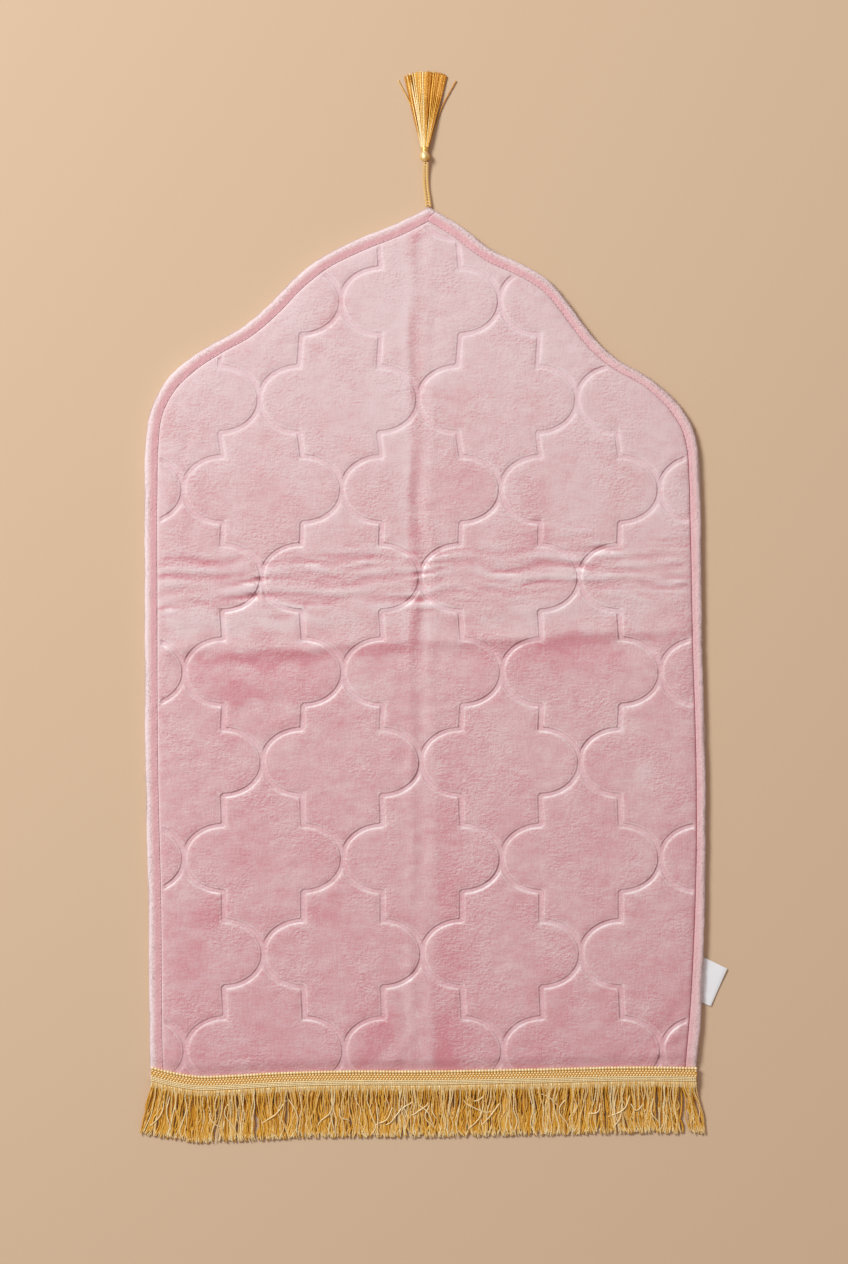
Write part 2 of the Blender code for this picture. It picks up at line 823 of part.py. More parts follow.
def make_tassel():
    """The tassel's ball, bound neck and skirt of locks, as one body."""
    grid = skirt_grid()
    bm = bmesh.new()
    root = [[bm.verts.new(p) for p in row] for row in grid]
    rim = root[0] + [root[1][-1]] + root[2][::-1] + [root[1][0]]
    count = len(rim)
    rows = []
    for along, half_width, half_height, middle in TASSEL_RINGS:
        ring = []
        for k in range(count):
            turn = math.tau * (k - SKIRT_COLUMNS / 2) / count - math.pi / 2
            x = TASSEL_ACROSS + half_width * math.cos(turn)
            ring.append(bm.verts.new((x, along, middle + half_height * math.sin(turn))))
        rows.append(ring)
    rows.append(rim)
    for a, b in zip(rows, rows[1:]):
        for k in range(count):
            n = (k + 1) % count
            bm.faces.new((a[k], a[n], b[n], b[k]))
    bm.faces.new(rows[0])
    spread = np.random.default_rng(SEED).uniform(-1, 1, (2, SKIRT_COLUMNS))
    for layer in (0, 1):
        low, high = root[layer], root[layer + 1]
        for k in range(SKIRT_COLUMNS):
            corners = (low[k], low[k + 1], high[k + 1], high[k])
            middle = (low[k].co.x + low[k + 1].co.x) / 2
            extrude_rings(bm, corners, lock_rings(k, layer, middle, spread[layer, k]))
    return new_object("tassel", bm, "gold_thread")


def main():
    """Build the rug piece by piece."""
    clear_scene()
    make_panel()
    make_binding()
    make_fringe()
    make_label()
    make_tassel()
    make_cord_leg("tassel_cord_left", -1)
    make_cord_leg("tassel_cord_right", 1)


main()
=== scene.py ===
"""Looks of the padded prayer rug: quilted velvet, bound edge, braid, fringe, label and tassel.

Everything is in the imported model's frame: X across the rug, Y along it towards the tip, Z up.
Sizes and places are in millimetres, and become metres when a mesh is made.
"""

import math

import bpy
import numpy as np
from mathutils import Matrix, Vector, geometry, kdtree


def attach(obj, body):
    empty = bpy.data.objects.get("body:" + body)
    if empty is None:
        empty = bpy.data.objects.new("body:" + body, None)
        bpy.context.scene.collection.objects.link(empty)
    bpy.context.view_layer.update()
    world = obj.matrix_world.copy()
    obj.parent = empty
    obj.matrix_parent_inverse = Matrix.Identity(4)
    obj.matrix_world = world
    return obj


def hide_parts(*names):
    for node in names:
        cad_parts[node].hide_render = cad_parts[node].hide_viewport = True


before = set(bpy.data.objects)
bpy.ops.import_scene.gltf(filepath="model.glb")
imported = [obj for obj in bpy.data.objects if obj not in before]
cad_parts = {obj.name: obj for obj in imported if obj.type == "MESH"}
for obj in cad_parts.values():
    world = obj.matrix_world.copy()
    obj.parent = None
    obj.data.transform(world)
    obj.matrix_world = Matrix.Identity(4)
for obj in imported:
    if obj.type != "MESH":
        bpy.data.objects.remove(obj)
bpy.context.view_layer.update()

MM = 0.001
SEED = 23
UP = np.array((0.0, 0.0, 1.0))
WAVE_COUNT = 14  # waves that are added up in one uneven field
THREAD_SIDES = 5
TWISTED_SIDES = 6

# ---- the photograph's framing ----
PIXEL = 0.812  # millimetres of the rug to a pixel of the photograph
PHOTO_SIZE = (848, 1264)
PHOTO_ORIGIN = (424.8, 646.5)  # the pixel of the rug's origin
CAMERA_HEIGHT = 2.6  # metres
SENSOR = 36.0

# ---- light and room, in metres and watts ----
FLOOR_SIZE = 8.0
FLOOR_HEIGHT = -0.0004
KEY_SIZE = 1.15
KEY_POWER = 130.0
KEY_PLACE = (-2.1, 1.75, 2.75)
ROOM_STRENGTH = 0.39

# ---- colours: linear red, green and blue ----
VELVET_DEEP = (0.62, 0.235, 0.277)
VELVET_PALE = (0.775, 0.61, 0.632)
GROOVE_PINK = (0.85, 0.64, 0.70)
# painted shade on the walls that face away from the light
SHADED_PINK = (0.36, 0.13, 0.17)
# painted glint on the walls that face the light, and the pale tips of pile frayed along the grooves
FRAY_AND_PAINTED_GLINT_PINK = (1.0, 0.92, 0.93)
VELVET_SHEEN = (1.0, 0.88, 0.9)
TAPE_PINK = (0.86, 0.63, 0.64)
# the tape's deep pink, which also paints shade along its seam
TAPE_DEEP = (0.80, 0.45, 0.485)
# pale fuzz of the tape's outer round, which also paints light there
TAPE_PALE = (0.92, 0.79, 0.83)
TAPE_SHEEN = (1.0, 0.92, 0.92)
SEWING_PINK = (0.90, 0.62, 0.67)
GOLD_DARK = (0.54, 0.205, 0.003)
GOLD_MIDDLE = (0.84, 0.465, 0.062)
GOLD_PALE = (1.0, 0.83, 0.49)
GOLD_GLEAM = (1.0, 0.86, 0.6)
SATIN_SHADED = (0.85, 0.865, 0.91)
SATIN_WHITE = (0.92, 0.935, 0.98)
FLOOR_BEIGE = (0.672, 0.492, 0.336)
KEY_COLOUR = (0.94, 0.99, 0.985)
ROOM_COLOUR = (1.0, 0.83, 0.76)

# ---- outline of the rug, as in the model. Columns: across, along ----
LEFT_EDGE = (
    (-222.3, -351.0), (-222.5, -339.5), (-222.7, -331.0), (-223.9, -205.8), (-226.2, -108.4),
    (-226.9, 40.0), (-226.9, 128.0), (-226.2, 161.2), (-222.3, 190.8), (-211.4, 212.6),
    (-192.8, 231.3), (-169.5, 246.8), (-146.2, 259.9), (-125.2, 277.8), (-105.8, 298.0),
    (-84.0, 315.1), (-52.9, 330.6), (-21.9, 343.1), (3.4, 356.1),
)
RIGHT_EDGE = (
    (3.4, 356.1), (27.5, 341.5), (55.5, 320.6), (77.2, 310.4), (91.2, 302.7),
    (103.6, 293.2), (116.0, 278.3), (128.5, 260.9), (141.0, 245.4), (153.4, 234.3),
    (184.4, 215.7), (197.2, 204.8), (209.2, 190.8), (217.0, 176.9), (220.9, 161.3),
    (222.8, 135.2), (223.6, 100.0), (224.8, -2.8), (227.4, -108.4), (226.4, -230.2),
    (223.3, -303.3), (220.9, -332.0), (220.4, -340.0), (219.8, -351.0),
)
FOOT_EDGE = (
    (-221.9, -352.8), (-206.9, -356.6), (-185.4, -360.2), (-158.2, -359.7), (-123.3, -357.7),
    (-60.7, -356.1), (-3.9, -356.1), (89.5, -354.5), (182.9, -352.8), (219.8, -353.4),
)
EDGE_STEP = 3.0

# ---- panel ----
PANEL_HEIGHT = 7.0
MARGIN_TOP = 4.5
MARGIN_BOTTOM = 1.3
MARGIN_INSET = 2.6
SEAM_INSET = 10.1
LIP_INSET = 10.25
LIP_HEIGHT = 5.55
BROW_INSET = 11.2
BROW_HEIGHT = 6.1
RIM_INSET = 12.6
RIM_HEIGHT = 6.5
CROWN_REACH = 12.0
CROWN_DROP = 0.3
SHOULDER_DROP = 0.35
CHANNEL_DEPTH = 0.95  # of the grooves
CHANNEL_FLOOR = 1.5  # half the width of a groove's flat floor
CHANNEL_HALF = 2.2  # half the width between a groove's two upper edges
SHOULDER_HALF = 3.9
FRAY_HALF = 2.5  # where the pile stands up along a groove
GROOVE_RAILS = (1.2, CHANNEL_FLOOR, CHANNEL_HALF, FRAY_HALF, SHOULDER_HALF)
PRESSED = 0.55  # the share of its height that the mat keeps under the braid
PRESS_START = 0.8  # behind the braid, where the mat starts to rise again
PRESS_END = 9.0
BRAID_WIDTH = 12.4
FOOT_TUCK = 0.9  # how far the panel's foot lies behind the braid's front edge
FOOT_POINTS = 112
FACE_ACROSS = (-230.0, 230.0)  # what the face's grid of points has to cover
FACE_ALONG = (-362.0, 358.0)
FACE_GRID = 3.0
GRID_ROW = 0.87  # the rows' distance, by the grid's step
GRID_OFF_GROOVES = 1.2  # clear of the outermost rail
GRID_OFF_RIM = 1.5
GROOVE_SAMPLING = 0.2
EDGE_SAMPLING = 0.4
RAIL_CLEARANCE = 0.96  # the share of its distance that a rail keeps from every groove

# Rows of nodes, where the motifs' side lobes meet. Columns: along, across of the middle node.
QUILT_ROWS = (
    (356.5, -5.5), (279.7, -68.0), (200.2, -5.5), (127.1, -67.2), (55.6, -3.6),
    (-20.7, -66.4), (-93.8, -3.1), (-171.7, -66.6), (-248.9, -2.3), (-327.6, -65.4),
)
QUILT_PITCH = 128.6
LOBE_WIDTH = 32.15
LOBE_HEIGHT = 26.8
LOBE_STEPS = 18
STEP_STEPS = 9
QUILT_REACH = 3  # nodes to each side of the middle one
QUILT_INSET = 11.2  # where the grooves end, in from the edge

# Long creases across the rug. Columns: along at the left, along at the right, height, half width.
FOLD_LINE = (-6.5, 12.0)
CROSS_CREASES = (
    (-5.0, 13.5, 1.2, 4.0),
    (-17.0, 1.0, -0.9, 8.0),
    (8.0, 27.0, -0.35, 6.0),
    (19.0, 38.0, 0.3, 6.0),
)
LIGHT_LEAN = np.array((-0.7, 0.7))  # towards the light, across the rug; faces that rise this way get painted shade
GLINT_LEAN = np.array((-0.4, 0.92))  # walls that face this way get a painted glint
SLOPE_STEP = 0.35
# how much painted light and shade a slope gives the pile's tone
PAINTED_SLOPE_SHADING = 0.55
# Small ripples across the rug, in the band just above the fold.
RIPPLE_BAND = (26.0, 36.0, 70.0, 84.0)
RIPPLE_HEIGHT = 0.7
RIPPLE_LENGTH = (6.5, 17.0)
CREASE_HALF_SPAN = 208.0
# The fold down the middle. Columns: across, height, half width.
CENTRE_CREASES = (
    (-11.0, 0.6, 3.5),
    (-4.0, -0.6, 5.0),
    (5.5, 0.4, 4.0),
)
# Soft creases elsewhere. Columns: from across, from along, to across, to along, height, width.
LOOSE_CREASES = (
    (-22.0, -262.0, -8.0, -338.0, -0.8, 6.0),
    (-12.0, -262.0, 4.0, -338.0, 0.6, 6.0),
    (2.0, -296.0, -30.0, -342.0, 0.5, 6.0),
    (178.0, -330.0, 205.0, -292.0, -0.8, 4.0),
    (184.0, -338.0, 212.0, -300.0, 0.6, 4.0),
    (150.0, -338.0, 196.0, -308.0, -0.5, 5.0),
    (-205.0, 118.0, -190.0, 176.0, -0.7, 4.0),
    (-212.0, 96.0, -198.0, 150.0, 0.5, 4.0),
    (-210.0, -30.0, -150.0, 14.0, -0.5, 5.0),
    (-214.0, -2.0, -192.0, -16.0, 0.6, 4.0),
    (-140.0, -226.0, -90.0, -214.0, -0.4, 5.0),
    (12.0, 300.0, 2.0, 210.0, -0.45, 6.0),
    (60.0, 20.0, 120.0, 26.0, -0.4, 4.0),
    (-60.0, 176.0, 30.0, 160.0, -0.4, 5.0),
    (120.0, -10.0, 190.0, -4.0, -0.4, 5.0),
    (-170.0, -60.0, -100.0, -38.0, -0.4, 4.0),
    (-150.0, -74.0, -96.0, -52.0, 0.4, 4.0),
    (40.0, -206.0, 96.0, -186.0, -0.35, 5.0),
    (6.0, 331.0, 27.0, 321.0, -0.6, 2.4),
    (-92.0, 297.0, -56.0, 317.0, -0.7, 2.2),
    (-196.0, -316.0, -186.0, -348.0, -0.8, 2.2),
)

# Some are painted light and shade: bright strips above the fold, dark troughs along the fold and by
# creases, and a darker band along the braid.
# Tone patches of the pile. Columns: middle across, along, half width, half length, turn, tone.
PILE_TONES_AND_PAINTED_SHADE = (
    (-31.0, 193.0, 20.0, 38.0, 0.0, 0.14),
    (-24.0, 286.0, 18.0, 36.0, 0.0, 0.12),
    (38.0, 188.0, 38.0, 28.0, 0.0, -0.12),
    (32.0, 130.0, 27.0, 22.0, 0.0, -0.20),
    (90.0, 122.0, 15.0, 16.0, 0.0, -0.20),
    (84.0, 90.0, 20.0, 12.0, 0.0, -0.18),
    (-1.0, 106.0, 8.0, 42.0, 0.0, -0.10),
    (194.0, 114.0, 20.0, 50.0, 0.0, 0.10),
    (-210.0, 186.0, 8.0, 26.0, -12.0, -0.25),
    (-76.0, 271.0, 14.0, 7.0, 35.0, -0.25),
    (-160.0, 110.0, 50.0, 30.0, 0.0, -0.08),
    (-150.0, 20.0, 74.0, 8.0, 1.0, 0.40),
    (-30.0, 24.0, 40.0, 7.0, 2.0, 0.20),
    (110.0, 30.0, 95.0, 8.0, 3.0, 0.22),
    (26.0, 22.0, 16.0, 12.0, 0.0, -0.12),
    (-128.0, -10.0, 60.0, 6.0, 2.0, -0.50),
    (-36.0, -2.0, 30.0, 5.5, 5.0, -0.42),
    (112.0, 4.0, 54.0, 6.0, 3.0, -0.32),
    (112.0, -8.0, 50.0, 14.0, 2.0, -0.32),
    (195.0, 10.0, 24.0, 3.0, 2.0, -0.25),
    (45.0, -4.0, 20.0, 14.0, 0.0, -0.18),
    (-128.0, -28.0, 60.0, 18.0, 0.0, -0.16),
    (-146.0, -37.0, 20.0, 7.0, 0.0, -0.26),
    (-128.0, -68.0, 28.0, 9.0, 10.0, -0.12),
    (-47.0, -36.0, 22.0, 12.0, 0.0, 0.14),
    (60.0, -79.0, 25.0, 27.0, 0.0, 0.10),
    (180.0, -105.0, 10.0, 10.0, 0.0, 0.20),
    (-174.0, -217.0, 16.0, 10.0, 30.0, -0.28),
    (-190.0, -254.0, 12.0, 16.0, 0.0, -0.20),
    (-78.0, -213.0, 14.0, 12.0, 20.0, -0.22),
    (79.0, -250.0, 26.0, 28.0, 0.0, 0.08),
    (138.0, -286.0, 50.0, 5.0, 10.0, -0.15),
    (-38.0, -318.0, 7.0, 24.0, -28.0, -0.28),
    (16.0, -318.0, 9.0, 26.0, -6.0, -0.24),
    (110.0, -296.0, 14.0, 12.0, 0.0, -0.15),
    (197.0, -300.0, 9.0, 30.0, -32.0, -0.25),
    (-176.0, -307.0, 14.0, 5.0, 20.0, -0.25),
    (0.0, -325.0, 230.0, 26.0, 0.0, -0.08),
    (-128.0, -150.0, 60.0, 34.0, 0.0, -0.08),
    (128.0, -150.0, 50.0, 40.0, 0.0, -0.06),
    (0.0, 334.0, 12.0, 5.0, 20.0, -0.34),
    (150.0, -60.0, 66.0, 260.0, 0.0, 0.05),
)

# ---- binding: section of the folded tape. Columns: inset, height ----
BINDING_SECTION = (
    (10.05, 5.2), (9.4, 5.65), (7.6, 6.05), (4.8, 6.45), (2.6, 6.4),
    (1.0, 5.75), (0.2, 4.4), (0.0, 2.6), (0.2, 1.0), (1.2, 0.0),
    (10.0, 0.0), (10.0, 1.0), (2.2, 1.0), (2.2, 4.5), (10.0, 4.5),
)
STITCH_INSET = 9.5
TAPE_SHARES = (  # the share of the tape's full width down the right side, by place up the rug
    (-330, 0.88),
    (-290, 0.86),
    (-220, 0.77),
    (-160, 0.71),
    (-40, 0.71),
    (40, 0.77),
    (105, 0.83),
    (170, 0.83),
    (225, 0.75),
    (290, 0.88),
    (335, 1.0),
)
STITCH_PITCH = 3.3
STITCH_LENGTH = 2.2
STITCH_RADIUS = 0.26
STITCH_HEIGHT = 5.55
STITCH_BOW = 0.25
STITCH_POINTS = 5
JOIN_ACROSS = 5.0  # where the tape's ends overlap, just right of the tip
JOIN_LEAN = -0.35
FIBRES = 24000  # of the tape's pile, along its outer round
FIBRE_LENGTH = (0.8, 1.9)
FIBRE_WIDTH = 0.17

# ---- braid and fringe ----
BRAID_BASE = 4.75
BRAID_LEFT = -221.8
BRAID_RIGHT = 220.4
BRAID_TAPE_HEIGHT = 0.8
BRAID_TAPE_FRONT = 0.2  # behind the braid's front edge
BRAID_TAPE_WIDTH = BRAID_WIDTH - 0.7
BRAID_TAPE_TONE = 0.22
BEAD_BEHIND = BRAID_WIDTH - 0.8
BEAD_HEIGHT = 1.0
BEAD_PITCH = 2.5
BEAD_SIZE = (1.36, 1.3, 1.4)
BEAD_LEAN = 24.0
BEAD_TONE = 0.88
KNOT_SPREAD = 0.14  # how far a knot's tone can lie from its row's
# Rows of small chain stitches. Columns: behind the front edge, height, lean, tone.
CHAIN_ROWS = (
    (9.35, 0.95, 34.0, 0.90),
    (7.55, 0.95, -34.0, 0.96),
    (5.75, 1.0, 34.0, 1.02),
)
CHAIN_PITCH = 2.5
CHAIN_SIZE = (1.3, 0.72, 0.95)
# Pale threads laid along the braid. Columns: behind the front edge, height, radius.
LAID_THREADS = (
    (4.25, 1.4, 0.5),
    (2.9, 1.4, 0.48),
    (1.6, 1.4, 0.48),
)
LAID_LAY = 3.2  # one turn of a laid thread's plies
LAID_PLY_DEPTH = 0.22
# Threads that cross the laid ones and bend down over the braid's front edge.
COMB_PITCH = 1.35
COMB_RADIUS = 0.46
COMB_BACK = 4.9
COMB_LENGTH = 9.4
COMB_HEIGHT = 0.75
COMB_POINTS = 7
STRAND_LENGTH = 42.0
SPLAY_LEFT = 11.0
SPLAY_RIGHT = 8.0
SPLAY_REACH = 22.0
# Layers of the fringe, from the floor up; the lower layers' darker tone is painted shade under the
# top one.
# Columns: name, strands, radius, resting height, falls by, sections, plies, tone.
FRINGE_LAYERS = (
    ("fringe_strands_low", 330, 0.95, 1.10, 0.22, 18, 0, 0.36),
    ("fringe_strands_middle", 320, 0.66, 1.75, 0.34, 26, 0, 0.34),
    ("fringe_strands_top", 330, 0.50, 2.50, 0.60, 56, 2, 0.60),
)
STRAND_LAY = 5.2
STRAND_PLY_DEPTH = 0.24
LOCK_WIDTH = 7.5
STRAY_STRANDS = 30
STRAY_STRAND_RADIUS = 0.46
STRAY_STRAND_POINTS = 26

# ---- label. Columns: across, along ----
LABEL_ROOT = ((222.6, -250.4), (220.9, -287.0))
LABEL_FOLD = ((245.3, -261.4), (232.1, -291.9))
LABEL_THICKNESS = 0.24

# ---- tassel: rings of its ball and neck. Columns: along, half width, half height, middle ----
TASSEL_RINGS = (
    (393.2, 0.4, 0.4, 4.1),
    (393.7, 1.9, 1.9, 4.1),
    (394.6, 3.1, 3.1, 4.1),
    (395.8, 3.9, 3.9, 4.1),
    (397.2, 4.15, 4.1, 4.1),
    (398.7, 3.85, 3.8, 4.1),
    (399.9, 3.1, 3.1, 4.0),
    (400.8, 2.5, 2.4, 3.8),
    (401.3, 2.4, 2.3, 3.6),
    (402.0, 2.7, 2.5, 3.4),
    (403.2, 2.9, 2.6, 3.3),
    (404.6, 2.85, 2.5, 3.15),
    (405.6, 2.5, 2.1, 3.0),
    (406.2, 1.0, 0.8, 3.0),
)
HEAD_SIDES = 48
WINDING_PITCH = 0.62
WINDING_DEPTH = 0.035
BALL_GLINT = math.radians(125)  # the side of the ball with a painted highlight
SKIRT_ROOT_ALONG = 404.6
SKIRT_TIP_ALONG = 466.6
SKIRT_TIP_ARC = 3.6
SKIRT_TIP_HALF_WIDTH = 17.4
SKIRT_TIP_MIDDLE = 1.1
# The lower layers' darker tone is painted shade under the top one.
# Layers of the skirt. Columns: threads, radius, root height, resting height, falls by, tone.
SKIRT_LAYERS = (
    (18, 0.86, 1.6, 1.0, 0.35, -0.05),
    (20, 0.60, 3.0, 1.9, 0.50, 0.20),
    (16, 0.54, 4.6, 2.8, 0.70, 0.72),
)
SKIRT_STRAY_RADIUS = 0.5
SKIRT_STRAY_TONE = 0.4
SKIRT_LAY = 4.4
SKIRT_PLY_DEPTH = 0.08
SKIRT_SECTIONS = 140
# Threads that stray from the skirt. Columns: across and along, where it leaves and at its tip.
SKIRT_STRAYS = (
    (-10.4, 436.5, -21.9, 460.1),
    (12.8, 435.0, 25.4, 459.3),
)

# ---- cord: the middle line of its two legs, as in the model. Columns: across, along, height ----
CORD_ROUTE = (
    (3.0, 356.9, 2.6),
    (2.7, 360.0, 2.3),
    (2.0, 366.0, 1.6),
    (1.2, 372.8, 1.35),
    (0.8, 379.6, 1.5),
    (0.8, 386.0, 2.3),
    (1.0, 392.9, 3.6),
)
CORD_LEG_OFFSET = 1.2
CORD_RADIUS = 1.12
CORD_MEAN_RADIUS = 0.9 * CORD_RADIUS
CORD_PLIES = 2
CORD_PLY_DEPTH = 0.45
CORD_SIDES = 18
CORD_LAY = 4.6
CORD_STEPS_A_TURN = 18


# ================================================================ geometry helpers


def smooth_path(points, step):
    """Points on a smooth curve through the given ones, at most a step apart."""
    p = np.array(points, float)
    span = np.linalg.norm(np.diff(p, axis=0), axis=1)
    slope = np.diff(p, axis=0) / span[:, None]
    tangent = np.empty_like(p)
    tangent[0], tangent[-1] = slope[0], slope[-1]
    before, after = span[:-1, None], span[1:, None]
    tangent[1:-1] = (after * slope[:-1] + before * slope[1:]) / (before + after)
    out = [p[:1]]
    for i, length in enumerate(span):
        steps = max(1, math.ceil(length / step))
        t = (np.arange(1, steps + 1) / steps)[:, None]
        out.append(
            (2 * t**3 - 3 * t**2 + 1) * p[i]
            + (t**3 - 2 * t**2 + t) * length * tangent[i]
            + (3 * t**2 - 2 * t**3) * p[i + 1]
            + (t**3 - t**2) * length * tangent[i + 1]
        )
    return np.vstack(out)


def edge_path():
    """The binding's outer edge, from the left foot over the tip to the right foot."""
    left = smooth_path(LEFT_EDGE, EDGE_STEP)
    right = smooth_path(RIGHT_EDGE, EDGE_STEP)
    return np.vstack([left, right[1:]])


def inward(path):
    """Each point's step inward for one millimetre of inset, mitred at the tip."""
    along = np.diff(path, axis=0)
    along /= np.linalg.norm(along, axis=1)[:, None]
    side = np.column_stack([along[:, 1], -along[:, 0]])
    before = np.vstack([side[:1], side])
    after = np.vstack([side, side[-1:]])
    middle = before + after
    middle /= np.linalg.norm(middle, axis=1)[:, None]
    return middle / (middle * after).sum(1)[:, None]


def tape_share(points):
    """How much of the tape's full width shows at each point of the edge."""
    share = np.interp(points[:, 1], *np.transpose(TAPE_SHARES))
    return np.where(points[:, 0] > 0, share, 1.0)


def tape_line(path, distance):
    """The edge moved inward by a distance in the tape's full width."""
    return path + inward(path) * (distance * tape_share(path))[:, None]


def run_length(path):
    """How far along the path each of its points lies."""
    return np.concatenate([[0], np.cumsum(np.linalg.norm(np.diff(path, axis=0), axis=1))])


def read_off(at, run, rows):
    """Rows of numbers that are known at the lengths in run, read off at other lengths."""
    return np.column_stack([np.interp(at, run, column) for column in rows.T])


def foot_front(across):
    """Where the braid's front edge lies, for values across the rug."""
    row = smooth_path(FOOT_EDGE, 4.0)
    return np.interp(across, row[:, 0], row[:, 1])


def press(points):
    """How much of its height the mat keeps at each point, less under the braid."""
    above = points[:, 1] - (foot_front(points[:, 0]) + BRAID_WIDTH)
    ramp = np.clip((above - PRESS_START) / (PRESS_END - PRESS_START), 0, 1)
    return PRESSED + (1 - PRESSED) * ramp


def pressed(points, height):
    """A height above the margin, lowered where the braid's sewing presses the mat."""
    kept = MARGIN_BOTTOM + (height - MARGIN_BOTTOM) * press(points)
    return np.where(height > MARGIN_BOTTOM, kept, height)


def smoothstep(value, low, high):
    """0 below low, 1 above high, and a smooth ramp between."""
    t = np.clip((value - low) / (high - low), 0, 1)
    return t * t * (3 - 2 * t)


def between(value, low, low_full, high_full, high):
    """1 between the two full values, with a smooth ramp to 0 at the outer two."""
    return smoothstep(value, low, low_full) * (1 - smoothstep(value, high_full, high))


def waves(points, length, seed):
    """A seeded uneven field over flat points, about -1 to 1, with waves near that length."""
    rng = np.random.default_rng(seed)
    total = np.zeros(len(points))
    for _ in range(WAVE_COUNT):
        turn, phase = rng.uniform(0, math.tau, 2)
        size = math.tau / (length * rng.uniform(0.6, 1.7))
        along = points[:, 0] * math.cos(turn) + points[:, 1] * math.sin(turn)
        total += np.sin(along * size + phase)
    return total / math.sqrt(WAVE_COUNT)


def inside(points, loop):
    """Whether each point lies inside the closed loop."""
    hit = np.zeros(len(points), bool)
    x, y = points[:, 0], points[:, 1]
    for a, b in zip(loop, np.roll(loop, -1, axis=0)):
        if a[1] == b[1]:
            continue
        crosses = (a[1] > y) != (b[1] > y)
        hit ^= crosses & (x < (b[0] - a[0]) * (y - a[1]) / (b[1] - a[1]) + a[0])
    return hit


class Nearness:
    """Distances from points to a set of lines, read from points close together on them."""

    def __init__(self, lines, step):
        dense = np.vstack([self.fill(line, step) for line in lines])
        self.tree = kdtree.KDTree(len(dense))
        for k, (x, y) in enumerate(dense):
            self.tree.insert((x, y, 0), k)
        self.tree.balance()

    @staticmethod
    def fill(line, step):
        """Points a step apart along a line."""
        run = run_length(line)
        at = np.linspace(0, run[-1], max(2, math.ceil(run[-1] / step)))
        return read_off(at, run, line)

    def __call__(self, points):
        return self.nearest(points)[1]

    def nearest(self, points):
        """The place on the lines that is nearest to each point, and its distance."""
        found = [self.tree.find((x, y, 0)) for x, y in points]
        return np.array([place[:2] for place, _, _ in found]), np.array([d for _, _, d in found])


def dress(ob, name, material, attributes=()):
    """Name a piece, give it its material and its points' numbers, and let it ride on the rug."""
    ob.name = name
    ob.data.name = name
    for label, values in dict(attributes).items():
        layer = ob.data.attributes.new(label, "FLOAT", "POINT")
        layer.data.foreach_set("value", np.asarray(values, np.float32))
    ob.data.materials.append(material)
    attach(ob, "root")
    return ob


def mesh_object(name, verts, faces, material, attributes=()):
    """A smooth piece from points in millimetres, dressed."""
    mesh = bpy.data.meshes.new(name)
    mesh.from_pydata((np.asarray(verts) * MM).tolist(), [], faces)
    mesh.validate()
    mesh.shade_smooth()
    ob = bpy.data.objects.new(name, mesh)
    bpy.context.collection.objects.link(ob)
    return dress(ob, name, material, attributes)


def gold_object(name, verts, faces, material, tone):
    """A piece of gold thread, with each point's tone from deep to pale."""
    return mesh_object(name, verts, faces, material, {"tone": tone})


def add_alone(add, **settings):
    """Add a primitive with nothing else selected, and give its object."""
    bpy.ops.object.select_all(action="DESELECT")
    add(**settings)
    return bpy.context.object


def points_of(ob):
    """The points of an object's mesh, in its own units."""
    places = np.empty(3 * len(ob.data.vertices))
    ob.data.vertices.foreach_get("co", places)
    return places.reshape(-1, 3)


def move_points(ob, places):
    """Put an object's points at new places, in millimetres."""
    ob.data.vertices.foreach_set("co", (np.asarray(places) * MM).ravel())
    ob.data.update()


def thicken(ob, thickness, offset):
    """Give a sheet its thickness in millimetres, and keep it."""
    solid = ob.modifiers.new("thickness", "SOLIDIFY")
    solid.thickness = thickness * MM
    solid.offset = offset
    bpy.ops.object.modifier_apply(modifier=solid.name)


def thread_blank(sides, sections):
    """A straight closed thread, extruded from a disc: its faces, by section and by side."""
    ob = add_alone(bpy.ops.mesh.primitive_circle_add, vertices=sides, radius=1.0, fill_type="NGON")
    bpy.ops.object.mode_set(mode="EDIT")
    bpy.ops.mesh.select_all(action="SELECT")
    for _ in range(sections - 1):
        bpy.ops.mesh.extrude_region_move(TRANSFORM_OT_translate={"value": (0.0, 0.0, 1.0)})
    bpy.ops.mesh.select_all(action="SELECT")
    bpy.ops.mesh.normals_make_consistent(inside=False)
    bpy.ops.object.mode_set(mode="OBJECT")
    places = points_of(ob)
    section = np.rint(places[:, 2]).astype(int)
    turn = np.arctan2(places[:, 1], places[:, 0]) - math.pi / 2
    side = np.rint(-turn / math.tau * sides).astype(int) % sides
    number = section * sides + side
    faces = [[int(number[v]) for v in face.vertices] for face in ob.data.polygons]
    bpy.data.meshes.remove(ob.data)
    return faces


